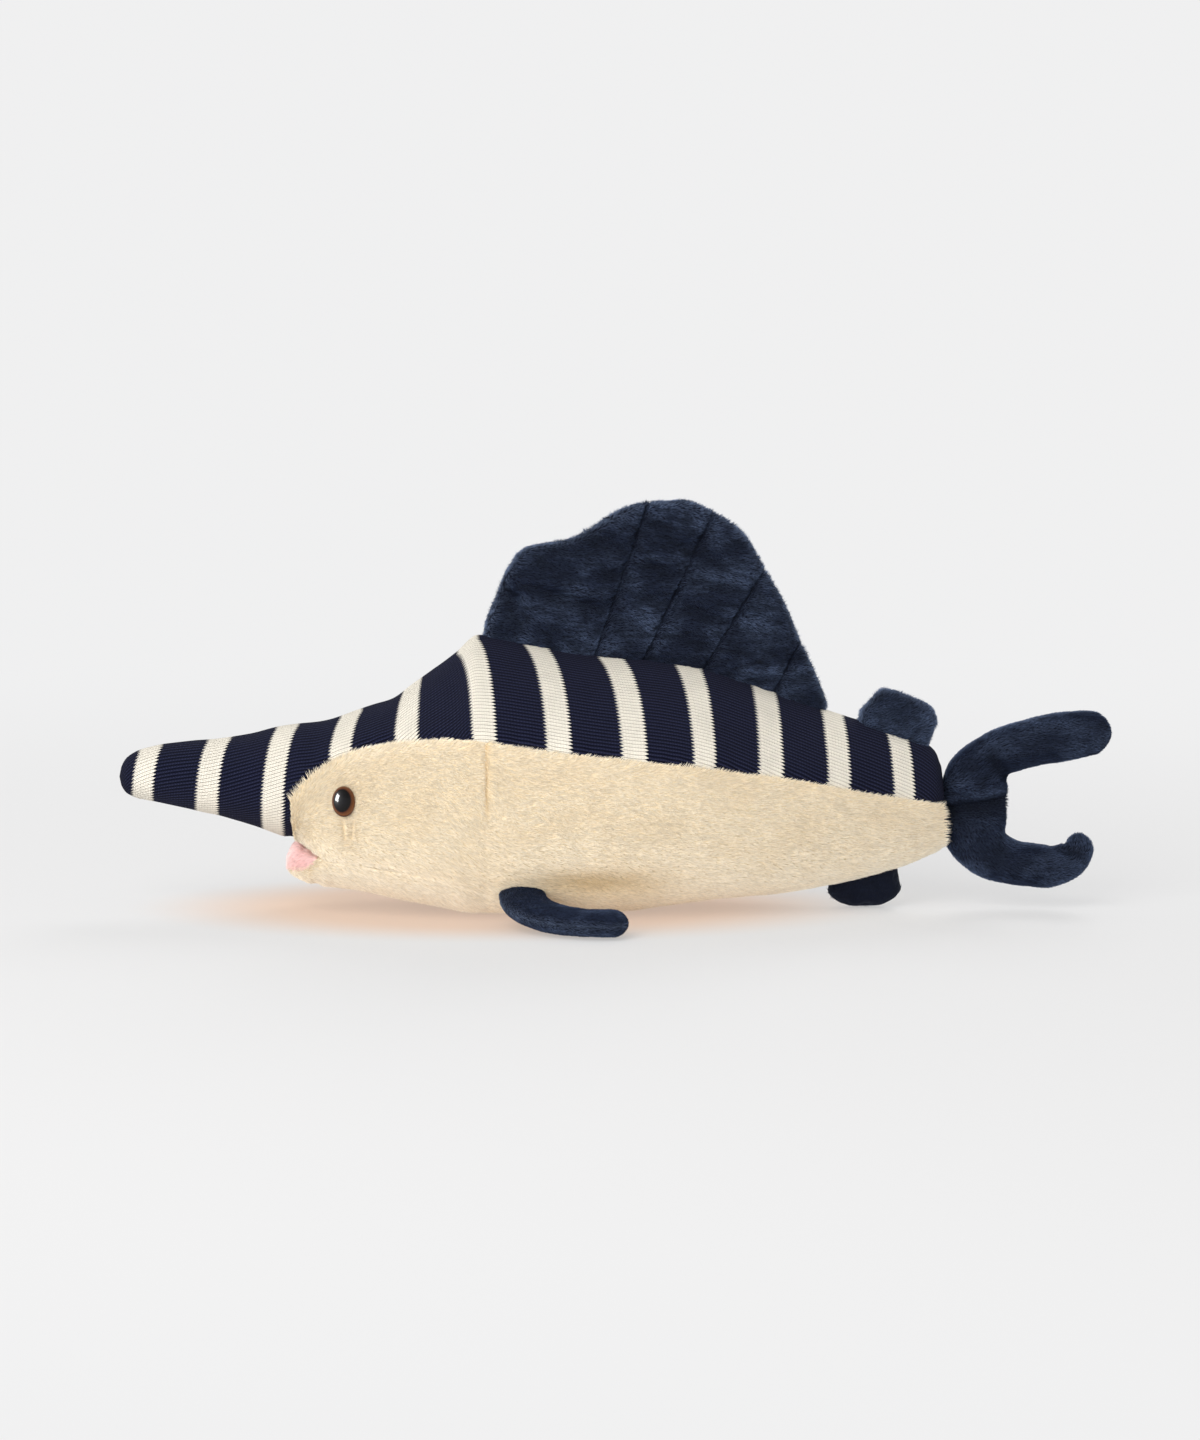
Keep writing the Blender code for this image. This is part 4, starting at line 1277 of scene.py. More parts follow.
@dataclass
class MouthLining:
    """The pink plush that shows between the lip and the upper jaw."""

    top: Line = Line(((-119.6, 18.4), (-118.5, 20.8), (-117, 23.3), (-115, 24.6), (-112, 23.4), (-107.3, 21)))
    power: float = 3.2
    skin_depth: float = 0.3
    front_x: float = -119.0
    rows: int = 22
    columns: int = 41

    def build(self, body: PlushBody, coat: PileCoat) -> bpy.types.Object:
        """Makes the lining and its pile.

        Args:
            body: The cream body, whose lip the lining sits on.
            coat: The pink coat.

        Returns:
            The lining as one closed piece.
        """
        x = np.linspace(self.front_x, MOUTH_CORNER_X - 0.4, self.rows)[:, None]
        lip = body.lip.at(x) - 0.8
        under_face = FORM.chin_seam.at(x) + 0.5
        high = np.maximum(np.minimum(self.top.at(x), under_face) - self.skin_depth, lip + 0.3)
        turn = np.linspace(0, math.pi, self.columns)
        across = np.sign(np.cos(turn)) * np.abs(np.cos(turn)) ** (2 / self.power)
        width = (body.jaw_half_width.at(x) - 0.5) * across
        height = lip + (high - lip) * np.abs(np.sin(turn)) ** (2 / self.power)
        points = np.stack([np.broadcast_to(x, width.shape), width, height], axis=-1)
        draft = Draft()
        lay = np.broadcast_to(unit(np.array([-0.6, 0.0, -0.5])), points.shape)
        numbers = draft.sheet(points, pattern_square(*points.shape[:2]), {"lay": lay})
        draft.strip(numbers[:, 0], numbers[:, -1])
        draft.cap(numbers[0], numbers[-1])
        draft.coated[-2] = 1  # the cap at the lip, which has pile too
        lining = draft.piece("mouth_lining_cover")
        lining.data.materials.append(PINK_PILE.ground_material())
        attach(lining, BODY)
        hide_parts("mouth_lining")
        coat.grow(lining, unrest=0.25, seed=90)
        return lining


@dataclass(frozen=True)
class Stuffing:
    """A cloth simulation that swells a sewn cover with its filling and wrinkles it between its seams.

    It runs on a copy made scale times as large, because the solver works best at about a metre.
    """

    pressure: float = 0.3
    slack: float = 0.12
    frames: int = 22
    scale: float = 20.0
    most_shift: float = 2.3
    quality: int = 5
    mass: float = 0.15
    tension_stiffness: float = 18
    compression_stiffness: float = 12
    shear_stiffness: float = 6
    bending_stiffness: float = 1.2
    air_damping: float = 2.5

    def settle(self, cover: bpy.types.Object) -> None:
        """Runs the simulation and keeps its last shape.

        Args:
            cover: A closed cover with the mark held, which is 1 where thread or body holds it.
        """
        mesh = cover.data
        rest = numbers_of(mesh.vertices, "co", 3)
        held = numbers_of(mesh.attributes["held"].data, "value")
        mesh.vertices.foreach_set("co", rest * self.scale)
        group = cover.vertex_groups.new(name="held")
        for k in np.flatnonzero(held > 0.01):
            group.add([int(k)], float(min(1.0, held[k])), "REPLACE")
        modifier = cover.modifiers.new("Stuffing", "CLOTH")
        settings = modifier.settings
        for name in (
            "quality", "mass", "tension_stiffness", "compression_stiffness", "shear_stiffness",
            "bending_stiffness", "air_damping",
        ):
            setattr(settings, name, getattr(self, name))
        settings.shrink_min = -self.slack
        settings.use_pressure = True
        settings.uniform_pressure_force = self.pressure
        settings.vertex_group_mass = group.name
        settings.effector_weights.gravity = 0
        modifier.point_cache.frame_start = 1
        modifier.point_cache.frame_end = self.frames
        for step in range(1, self.frames + 1):
            bpy.context.scene.frame_set(step)
        evaluated = cover.evaluated_get(bpy.context.evaluated_depsgraph_get())
        settled = numbers_of(evaluated.data.vertices, "co", 3)
        shift = (settled / self.scale - rest).reshape(-1, 3)
        length = np.linalg.norm(shift, axis=1, keepdims=True)
        most = self.most_shift * MM
        shift *= most * np.tanh(length / most) / np.maximum(length, LEAST_LENGTH)
        cover.modifiers.remove(modifier)
        cover.vertex_groups.remove(group)
        bpy.context.scene.frame_set(1)
        mesh.vertices.foreach_set("co", rest + shift.ravel())
        mesh.update()
        log.info("%s: cloth moved %.2f mm at most", cover.name, float(length.max()) / MM)


@dataclass(frozen=True)
class UprightFin:
    """A stuffed fin on the body's middle plane, made of two faces sewn together at the rim.

    Its rays are (foot x, tip x, tip z), from the body's line to the rim. Its folds are (x, z, half length, half
    height, rise).
    """

    node: str
    rays: Triples
    half_thickness: float
    root_line: Line
    root_depth: float
    lay: Place
    columns: int
    rows: int
    rim_reach: float
    stitches: tuple[float, ...] = ()
    stitch_reach: float = 6.0
    stitch_share: float = 0.34
    sway: float = 0.0
    sway_turns: float = 0.07
    lean: float = 0.0
    calm: float = 0.7
    pressed: float = 0.06
    skin_depth: float = 0.95
    wrinkle_depth: float = 0.25
    wrinkle_size: float = 8.0
    wrinkle_stretch: float = 1.0
    folds: tuple[tuple[float, float, float, float, float], ...] = ()
    fold_slope: float = 0.18
    unrest: float = 0.25
    stuffing: Stuffing | None = None

    def _feet(self) -> np.ndarray:
        """The feet of the sheet's columns, with one on each line of stitches."""
        marks = [self.rays[0][0] + self.skin_depth, *self.stitches, self.rays[-1][0] - self.skin_depth]
        span = marks[-1] - marks[0]
        feet = [np.array(marks[:1])]
        for start, end in zip(marks, marks[1:]):
            steps = max(3, round(self.columns * (end - start) / span))
            feet.append(np.linspace(start, end, steps + 1)[1:])
        return np.concatenate(feet)

    def _pattern(self) -> tuple[np.ndarray, np.ndarray, np.ndarray]:
        """The flat pattern in XZ, each point's distance from the rim, and from the nearest line of stitches."""
        feet = self._feet()
        tip_x = self._eased(Line(tuple((a, b) for a, b, _ in self.rays)).at(feet))
        tip_z = self._eased(Line(tuple((a, c) for a, _, c in self.rays)).at(feet))
        root_z = self.root_line.at(feet) + self.root_depth
        foot = np.stack([feet, root_z], axis=-1)
        tip = np.stack([tip_x, tip_z], axis=-1)
        length = np.linalg.norm(tip - foot, axis=-1, keepdims=True)
        tip = foot + (tip - foot) * np.maximum(0.2, 1 - self.skin_depth / length)
        share = 1 - (1 - np.linspace(0, 1, self.rows + 1)) ** 1.25
        flat = foot[:, None] + (tip - foot)[:, None] * share[:, None]
        from_rim = self._distance(flat, [flat[0], flat[:, -1], flat[-1]])
        lines = [flat[int(np.argmin(np.abs(feet - stitch)))] for stitch in self.stitches]
        from_stitch = self._distance(flat, lines) if lines else np.full(flat.shape[:2], 99.0)
        return flat, from_rim, from_stitch

    def _eased(self, values: np.ndarray) -> np.ndarray:
        """The values with their corners rounded, and both ends kept."""
        reach = max(3, self.columns // 32)
        window = np.hanning(2 * reach + 3)[1:-1]
        before = 2 * values[0] - values[reach:0:-1]
        after = 2 * values[-1] - values[-2:-reach - 2:-1]
        padded = np.concatenate([before, values, after])
        return np.convolve(padded, window / window.sum(), mode="valid")

    @staticmethod
    def _distance(flat: np.ndarray, lines: list[np.ndarray]) -> np.ndarray:
        """The distance of each point of a pattern from the nearest of some lines of points."""
        nearest = np.full(flat.shape[:2], np.inf)
        for line in lines:
            for start, end in zip(line, line[1:]):
                run = end - start
                along = np.clip(((flat - start) @ run) / max(run @ run, 1e-9), 0, 1)
                gap = np.linalg.norm(flat - start - along[..., None] * run, axis=-1)
                nearest = np.minimum(nearest, gap)
        return nearest

    @staticmethod
    def _away_from_rim(flat: np.ndarray, from_rim: np.ndarray) -> np.ndarray:
        """The direction in which each point's rim lies."""
        middle = flat[flat.shape[0] // 2, flat.shape[1] // 2]
        nearest = np.concatenate([flat[0], flat[:, -1], flat[-1]])
        picked = np.argmin(np.linalg.norm(flat[:, :, None] - nearest[None, None], axis=-1), axis=-1)
        out = nearest[picked] - flat
        out = np.where(from_rim[..., None] < 0.3, nearest[picked] - middle, out)
        return unit(np.stack([out[..., 0], np.zeros_like(from_rim), out[..., 1]], axis=-1))

    def _fold(self, x: np.ndarray, z: np.ndarray) -> np.ndarray:
        """The height of the lying folds, each of which sinks a little aft."""
        height = np.zeros_like(x)
        for fold_x, fold_z, half_length, half_height, rise in self.folds:
            across = z - fold_z + self.fold_slope * (x - fold_x)
            height += rise * np.exp(-(((x - fold_x) / half_length) ** 2) - (across / half_height) ** 2)
        return height

    def build(self, coat: PileCoat, seed: int) -> bpy.types.Object:
        """Makes the fin and its pile.

        Args:
            coat: The navy coat.
            seed: The seed of the pile.

        Returns:
            The fin's skin as one closed piece.
        """
        flat, from_rim, from_stitch = self._pattern()
        x, z = flat[..., 0], np.maximum(flat[..., 1], FLOOR + FIN_CLEARANCE)
        rounding = np.sqrt(1 - (1 - np.minimum(1, from_rim / self.rim_reach)) ** 2)
        dome = np.sqrt(1 - (1 - np.minimum(1, from_stitch / self.stitch_reach)) ** 2)
        full = self.stitch_share + (1 - self.stitch_share) * dome
        foot = np.broadcast_to(self._feet()[:, None], x.shape)
        share = np.linspace(0, 1, x.shape[1])
        bend = (self.sway * np.sin(foot * self.sway_turns) + self.lean) * share
        held = hump(from_stitch, 0.7) + (from_rim < 0.5) + (share < 0.06)
        ray = np.gradient(np.stack([x, np.zeros_like(x), z], axis=-1), axis=1)
        near = hump(from_stitch, 1.1)[..., None]
        fringe = 0.8 * hump(from_rim, 1.6)[..., None]
        lay = np.array(self.lay) * (1 - near) + unit(ray) * near
        lay = unit(lay * (1 - fringe) + self._away_from_rim(flat, from_rim) * fringe)
        # The stitch lines are drawn darker: partly the stitching itself, partly painted shade in its groove.
        seam = 0.65 * hump(from_stitch, 0.6)
        # Painted rim light along the fin's edge.
        rim = hump(from_rim, 1.3)
        trim = 0.35 * hump(from_stitch, 1.2) - 0.45 * rim
        draft = Draft()
        sheets = []
        for side in (1.0, -1.0):
            middle = np.stack([x, bend, z], axis=-1)
            places = (middle + (0, side * 50, 0)) * (1 / self.wrinkle_stretch, 1, 1)
            wrinkle = self.wrinkle_depth * lumps(places, self.wrinkle_size, 5.5) * (from_rim > 1)
            wrinkle = wrinkle + self._fold(x, z)
            half = rounding * (full * (self.half_thickness - self.skin_depth) + wrinkle * dome)
            half = np.maximum(half, 0.12 * rounding)
            points = middle + np.stack([np.zeros_like(x), side * half, np.zeros_like(x)], axis=-1)
            marks = {
                "lay": lay, "held": np.minimum(held, 1.0), "seam": seam, "trim": trim, "rim": rim,
                "calm": np.full_like(x, self.calm), "pressed": np.full_like(x, self.pressed),
            }
            pattern = pattern_square(*x.shape) * (1, 0.5) + (0, 0.5 * (side < 0))
            sheets.append(draft.sheet(points, pattern, marks))
        draft.strip(sheets[0][:, 0], sheets[1][:, 0])
        skin = draft.piece(self.node + "_cover")
        if self.stuffing:
            self.stuffing.settle(skin)
        skin.data.materials.append(NAVY_PILE.ground_material())
        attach(skin, BODY)
        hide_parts(self.node)
        coat.grow(skin, unrest=self.unrest, seed=seed)
        return skin


@dataclass(frozen=True)
class Crease:
    """A fold in a stuffed arm, seen from the side as a line between two places (x, z).

    Shade is how dark its pile is painted, as painted shade in the fold, and above is its width over the line against
    its width under it.
    """

    start: tuple[float, float]
    end: tuple[float, float]
    depth: float
    width: float
    shade: float = 0.0
    above: float = 1.0

    def near(self, points: np.ndarray) -> np.ndarray:
        """How near each point is to the fold, from 0 to 1 on its line."""
        flat = points[..., (0, 2)]
        start, end = np.array(self.start), np.array(self.end)
        run = end - start
        along = ((flat - start) @ run) / (run @ run)
        gap = np.linalg.norm(flat - start - np.clip(along, 0, 1)[..., None] * run, axis=-1)
        over = run[0] * (flat[..., 1] - start[1]) > run[1] * (flat[..., 0] - start[0])
        width = self.width * np.where(over, self.above, 1.0)
        return ease(1 - np.abs(along - 0.5) * 0.9) * hump(gap, width)


@dataclass(frozen=True)
class Arm:
    """A stuffed arm along a smooth line: keys of (x, y, z, half breadth, half thickness) along its middle."""

    keys: tuple[tuple[float, float, float, float, float], ...]
    thick_way: Place
    round_start: float
    round_end: float
    skin_depth: float = 0.95
    rows: int = 150
    sides: int = 56

    def tracks(self) -> tuple[list[Line], float]:
        """A line for each number of the keys along the arm, and the arm's length."""
        keys = np.array(self.keys, dtype=float)
        run = np.concatenate([[0.0], np.cumsum(np.linalg.norm(np.diff(keys[:, :3], axis=0), axis=1))])
        return [Line(tuple(zip(run, keys[:, k]))) for k in range(5)], float(run[-1])

    def skin(self) -> tuple[np.ndarray, np.ndarray, np.ndarray, np.ndarray]:
        """Places the arm's skin, inside the outline by the pile's depth.

        Returns:
            The skin's points in rings, its outward normals, the direction along the arm at each point, and the
            share of the arm's length at each ring.
        """
        tracks, length = self.tracks()
        first = self.skin_depth if self.round_start else 0.0
        last = length - (self.skin_depth if self.round_end else 0.0)
        t = np.linspace(0, 1, self.rows)
        bunched = (1 - np.cos(math.pi * t)) / 2
        s = first + (last - first) * (0.5 * t + 0.5 * bunched)
        full = np.ones_like(s)
        for distance, reach in ((s - first, self.round_start), (last - s, self.round_end)):
            if reach:
                inner = reach - self.skin_depth
                full = np.minimum(full, np.sqrt(1 - (1 - np.clip(distance / inner, 0, 1)) ** 2))
        middle = np.stack([track.at(s) for track in tracks[:3]], axis=-1)
        step = length * 0.01
        ahead = np.stack([track.at(np.minimum(s + step, length)) for track in tracks[:3]], axis=-1)
        behind = np.stack([track.at(np.maximum(s - step, 0)) for track in tracks[:3]], axis=-1)
        along = unit(ahead - behind)
        breadth = unit(np.cross(along, np.array(self.thick_way, dtype=float)))
        thick = np.cross(breadth, along)
        half_breadth = (tracks[3].at(s) - self.skin_depth) * full
        half_thick = (tracks[4].at(s) - self.skin_depth) * full
        angle = np.linspace(0, 2 * math.pi, self.sides + 1)
        angle[-1] = 0.0
        cos, sin = np.cos(angle)[None, :, None], np.sin(angle)[None, :, None]
        points = (
            middle[:, None] + breadth[:, None] * half_breadth[:, None, None] * cos
            + thick[:, None] * half_thick[:, None, None] * sin
        )
        outward = unit(
            breadth[:, None] * half_thick[:, None, None] * cos + thick[:, None] * half_breadth[:, None, None] * sin
        )
        return points, outward, np.broadcast_to(along[:, None], points.shape), s / length

    def cover(self, name: str, points: np.ndarray, marks: dict[str, np.ndarray]) -> bpy.types.Object:
        """Closes the skin into a piece with navy cloth under its pile.

        Args:
            name: The piece's name.
            points: The skin's points in rings.
            marks: Which way the pile lies, and other values that the pile reads at each point.

        Returns:
            The piece.
        """
        points = points.copy()
        points[..., 2] = np.maximum(points[..., 2], FLOOR + FIN_CLEARANCE)
        draft = Draft()
        numbers = draft.sheet(points, pattern_square(*points.shape[:2]), marks)
        if not self.round_start:
            draft.cap(numbers[0, :-1])
        if not self.round_end:
            draft.cap(numbers[-1, :-1])
        skin = draft.piece(name)
        skin.data.materials.append(NAVY_PILE.ground_material())
        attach(skin, BODY)
        return skin


@dataclass(frozen=True)
class Tail:
    """The forked tail, gathered where the body's end holds it."""

    arm: Arm = Arm(
        keys=(
            (180.57, 1.5, 64.3, 7, 5.2), (172.5, 1.2, 63.9, 8.6, 6.2), (160, 0.6, 62.3, 9.7, 6.8),
            (149, 0, 60.1, 9.2, 6.8), (138.4, 0, 56.4, 9.2, 6.6), (131.6, 0, 48.6, 12.2, 6.6),
            (129.8, 0, 38.6, 13.2, 6.2), (130.4, 0, 29.6, 12.8, 6.4), (135.4, 0, 20.8, 10.4, 6.8),
            (147, -0.8, 16.2, 8.5, 7), (157, -2, 15.6, 8.1, 6.8), (165.2, -3.2, 18.4, 7.4, 6.4),
            (168, -4, 23, 6.2, 5.8), (167.8, -4.3, 28.6, 5.6, 5.2),
        ),
        thick_way=(0, 1, 0), round_start=7.5, round_end=7.5,
    )
    creases: tuple[Crease, ...] = (
        Crease((113.0, 36.4), (142.0, 40.2), 3.5, 6.6, 1.0, 0.35),
        Crease((122.0, 47.5), (138.0, 46.5), -1.0, 3.2),
        Crease((124.0, 26.5), (138.0, 29.5), -1.0, 3.4),
        Crease((115.0, 42.8), (127.5, 42.2), 1.5, 2.0, 0.6),
        Crease((117.0, 27.5), (126.0, 26.0), 1.2, 1.8, 0.5),
        Crease((134.8, 57.6), (141.0, 48.5), 1.7, 2.8, 0.55),
        Crease((157.9, 23.4), (169.0, 19.9), 2.2, 2.0, 0.7),
        Crease((119.0, 50.5), (125.0, 57.0), -1.6, 4.0),
        Crease((141.5, 25.0), (137.0, 17.5), 1.0, 2.0),
        Crease((147.0, 68.5), (152.5, 61.0), 0.6, 2.4),
        Crease((124.5, 54.0), (131.0, 47.5), 0.9, 2.2),
    )
    root_span: float = 0.14
    tip_share: float = 0.03
    layers: Triples = ((0.35, 15, 6.1), (0.2, 6, 9.4))
    calm: float = 0.6
    pressed: float = 0.06
    smooth_rounds: int = 12

    def build(self, coat: PileCoat) -> bpy.types.Object:
        """Makes the tail and its pile.

        Args:
            coat: The navy coat.

        Returns:
            The tail's skin as one closed piece.
        """
        points, outward, along, share = self.arm.skin()
        middle = ease((0.3 - np.abs(share - 0.5)) / 0.1)[1:-1, None, None]
        inner = ease((0.75 - np.abs(outward[1:-1, :, 1:2])) / 0.3) * middle
        for _ in range(self.smooth_rounds):
            points[1:-1] += (points[:-2] + points[2:] - 2 * points[1:-1]) * 0.25 * inner
        depth = sum(crease.depth * crease.near(points) for crease in self.creases)
        # Painted shade in the creases, which the tail's seam mark carries.
        shade = sum(crease.shade * crease.near(points) for crease in self.creases)
        tip_calm = np.minimum(1, np.minimum(share, 1 - share) / self.tip_share)[:, None]
        facing = np.maximum(np.abs(outward[..., 1]), 0.12)
        points = points + outward * ((bumps(points, self.layers) - depth * facing) * tip_calm)[..., None]
        turn = np.clip((share - 0.5) / self.root_span, -1, 1)[:, None, None]
        lay = unit(along * turn + np.array([1.0, 0, 0]) * (1 - np.abs(turn)) + np.array([0, 0, -0.12]))
        # Painted rim light at the tail's edges, less where shade is painted in a crease.
        rim = 0.6 * hump(outward[..., 1], 0.3) * (1 - 0.8 * np.minimum(shade, 1))
        marks = {
            "lay": lay, "rim": rim, "trim": -0.5 * rim, "seam": np.minimum(shade, 1),
            "calm": np.full_like(rim, self.calm), "pressed": np.full_like(rim, self.pressed),
        }
        skin = self.arm.cover("tail_cover", points, marks)
        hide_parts("tail_upper_lobe", "tail_root", "tail_lower_lobe")
        coat.grow(skin, unrest=0.16, seed=300)
        return skin


@dataclass(frozen=True)
class Pectoral:
    """A side fin that lies on the floor, made of two panels with a seam around its rim."""

    keys: tuple[tuple[float, float, float, float, float], ...] = (
        (-34, -27, 11.6, 8.6, 4.3), (-33, -36, 9.3, 9.3, 4.7), (-28.8, -45, 6.9, 9.9, 5.2),
        (-20.5, -52.5, 5.4, 10.1, 5.4), (-11, -57, 5.1, 9.9, 5.3), (-2.5, -59, 5.2, 9.1, 5.2),
        (4.6, -59.6, 5.3, 8.3, 5),
    )
    tip_round: float = 6.5
    seam_depth: float = 1.9
    seam_width: float = 1.3
    tip_share: float = 0.06
    layers: Triples = ((0.3, 12, 2.2), (0.15, 5, 4.9))
    calm: float = 0.7
    pressed: float = 0.04

    def build(self, side: Side, coat: PileCoat) -> bpy.types.Object:
        """Makes one fin and its pile.

        Args:
            side: Which side of the toy it is on.
            coat: The navy coat.

        Returns:
            The fin's skin as one closed piece.
        """
        mirror = -side.value
        keys = tuple((x, mirror * y, z, breadth, thick) for x, y, z, breadth, thick in self.keys)
        arm = Arm(keys, (0, 0, 1), 0.0, self.tip_round, rows=110)
        points, outward, along, share = arm.skin()
        angle = np.linspace(0, 2 * math.pi, arm.sides + 1)
        from_rim = np.abs(np.sin(angle))[None, :] * 4.4 + 6 * (np.abs(np.cos(angle)) < 0.5)[None, :]
        reach = ease((share - 0.3) / 0.35)[:, None]
        seam = self.seam_depth * reach * hump(from_rim, self.seam_width)
        tip_calm = np.minimum(1, (1 - share) / self.tip_share)[:, None]
        points = points + outward * ((bumps(points, self.layers) - seam) * tip_calm)[..., None]
        lay = unit(along + np.array([0.15, 0.0, -0.1]))
        node = "pectoral_fin_" + side.name.lower()
        # Painted rim light along the fin's edges.
        rim = 0.6 * hump(from_rim, 1.2) * np.ones_like(share)[:, None]
        marks = {
            "lay": lay, "rim": rim, "calm": np.full_like(rim, self.calm),
            "pressed": np.full_like(rim, self.pressed),
        }
        skin = arm.cover(node + "_cover", points, marks)
        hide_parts(node)
        coat.grow(skin, unrest=0.18, seed=400 + side.value)
        return skin


@dataclass(frozen=True)
class ToyEye:
    """An oval plastic eye, half sunk in the face and leaning with it."""

    x: float = -97.6
    z: float = 43.6
    half_width: float = 4.3
    half_height: float = 5.5
    half_depth: float = 3.4
    sink: float = 0.7
    lean_degrees: float = 7.0
    pupil_rise: float = 0.04
    pupil_back: float = 0.11

    def build(self, side: Side) -> bpy.types.Object:
        """Makes one eye.

        Args:
            side: Which side of the face it is on.

        Returns:
            The eye, with the mark ring for its pattern.
        """
        x = np.array([self.x, self.x + 1, self.x - 1, self.x, self.x])
        z = np.array([self.z, self.z, self.z, self.z + 1, self.z - 1])
        here, ahead, behind, above, below = FORM.point(x, FORM.angle_at(x, z))[:, 1]
        sign = side.value
        outward = Vector((-(ahead - behind) / 2, sign, -(above - below) / 2)).normalized()
        along = Vector((0, 0, 1)).cross(outward).normalized()
        up = outward.cross(along)
        turn = Matrix((along, up, outward)).transposed() @ Matrix.Rotation(
            -sign * math.radians(self.lean_degrees), 3, "Z"
        )
        work = bmesh.new()
        bmesh.ops.create_uvsphere(work, u_segments=64, v_segments=32, radius=1)
        back = -sign * self.pupil_back
        rings = [math.hypot(vert.co.x - back, vert.co.y - self.pupil_rise) for vert in work.verts]
        middle = Vector((self.x, sign * float(here), self.z)) - outward * self.sink
        for vert in work.verts:
            sized = Vector((
                vert.co.x * self.half_width, vert.co.y * self.half_height, vert.co.z * self.half_depth,
            ))
            vert.co = (middle + turn @ sized) * MM
        node = "eye_" + side.name.lower()
        mesh = bpy.data.meshes.new(node + "_bead")
        work.to_mesh(mesh)
        work.free()
        mesh.attributes.new("ring", "FLOAT", "POINT").data.foreach_set("value", rings)
        mesh.shade_smooth()
        bead = in_scene(mesh.name, mesh)
        mesh.materials.append(EyeFinish().material())
        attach(bead, BODY)
        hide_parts(node)
        return bead


@dataclass(frozen=True)
class Studio:
    """A seamless pale sweep all around the toy, lit softly from the front left, and the camera."""

    floor_rings: tuple[float, ...] = (0.25, 0.7, 1.1)
    curve_steps: int = 16
    floor_radius: float = 1.5
    wall_radius: float = 2.6
    wall_height: float = 1.5
    plain_from: float = 0.2
    plain_to: float = 0.75
    near_glow: float = 0.49
    pale: float = 0.87
    floor_white: float = 0.75
    # A painted warm bounce light on the floor under the toy: its colour, middle and reach.
    painted_bounce: Colour = (0.78, 0.56, 0.42)
    painted_bounce_middle: Place = (-0.04, 0.0, 0.0)
    painted_bounce_reach: tuple[float, float] = (0.105, 0.052)
    sky: float = 0.48
    target: Place = (-0.0058, 0.0, 0.069)
    distance: float = 1.45
    elevation_degrees: float = 8.0
    frame_height: float = 0.5227
    sensor_width: float = 36.0
    around: int = 72

    def build(self) -> None:
        """Makes the sweep, the lights, the sky and the camera."""
        self._sweep()
        for lamp in (
            self._light("key", (-0.7, -1.15, 1.1), (1.3, 1.3), 16.0, (1.0, 0.985, 0.96)),
            self._light("fill", (-0.7, -1.25, 0.14), (1.3, 0.5), 10.5, (1.0, 1.0, 1.0)),
        ):
            lamp.visible_glossy = False
        self._light("rim", (0.5, 1.2, 1.1), (0.8, 0.8), 9.0, (1.0, 1.0, 1.0))
        self._sky()
        self._camera()

    def _sweep(self) -> None:
        """Makes the floor and the wall that curves up from it, and stages them."""
        depth = self.wall_radius - self.floor_radius
        turn = np.linspace(0, RIGHT_ANGLE, self.curve_steps)
        curve = [(self.floor_radius + depth * math.sin(a), self.wall_height * (1 - math.cos(a))) for a in turn]
        profile = [*((radius, 0.0) for radius in self.floor_rings), *curve]
        around = self.around
        points = [(0.0, 0.0, 0.0)]
        for radius, height in profile:
            for k in range(around):
                angle = 2 * math.pi * k / around
                points.append((radius * math.cos(angle), radius * math.sin(angle), height))
        faces = [(0, 1 + k, 1 + (k + 1) % around) for k in range(around)]
        for ring in range(len(profile) - 1):
            first, second = 1 + ring * around, 1 + (ring + 1) * around
            for k in range(around):
                j = (k + 1) % around
                faces.append((first + k, second + k, second + j, first + j))
        mesh = bpy.data.meshes.new("sweep")
        mesh.from_pydata(points, [], faces)
        mesh.shade_smooth()
        mesh.materials.append(self._paper())
        sweep = in_scene("sweep", mesh)

    def _paper(self) -> bpy.types.Material:
        """Matt pale paper under the toy that turns into an even glow further out, tinted warm in an oval under the
        toy as painted bounce light.
        """
        bench = Cloth("pale_paper")
        place = bench.place()
        # Painted warm bounce light: the paper and its glow are tinted warm in an oval under the toy.
        scale = (1 / self.painted_bounce_reach[0], 1 / self.painted_bounce_reach[1], 1.0)
        oval = bench.vector("MULTIPLY", bench.vector("SUBTRACT", place, self.painted_bounce_middle), scale)
        painted_bounce_share = bench.soft_step(bench.vector("LENGTH", oval, output="Value"), 0.7, 1.35, 1.0, 0.0)
        plain = (self.floor_white, self.floor_white, self.floor_white * 1.004)
        bench.surface(Base_Color=bench.blend(painted_bounce_share, plain, self.painted_bounce), Roughness=1.0, Specular_IOR_Level=0.0)
        radius = bench.vector("LENGTH", place, output="Value")
        share = bench.soft_step(radius, self.plain_from, self.plain_to, self.near_glow)
        pale = (self.pale, self.pale, self.pale * 1.004)
        painted_bounce_glow = (self.pale, self.pale * 0.84, self.pale * 0.72)
        glow_colour = bench.blend(painted_bounce_share, pale, painted_bounce_glow)
        glow = bench.node("ShaderNodeEmission", {}, {"Color": glow_colour, "Strength": 1.0})
        paper = Signal(bench, bench.shader.outputs["BSDF"])
        mixed = bench.node("ShaderNodeMixShader", {}, {0: share, 1: paper, 2: glow})
        result = bench.tree.nodes["Material Output"]
        bench.feed(result.inputs["Surface"], mixed)
        return bench.material

    def catch_light(self, eyes: list[bpy.types.Object]) -> None:
        """Adds the window that only the glossy eyes mirror."""
        window = self._light("window", (-1.2, -0.34, 0.47), (0.62, 0.62), 110.0, (1.0, 1.0, 1.0))
        window.visible_diffuse = False
        mirrors = bpy.data.collections.new("eyes")
        for eye in eyes:
            mirrors.objects.link(eye)
        window.light_linking.receiver_collection = mirrors

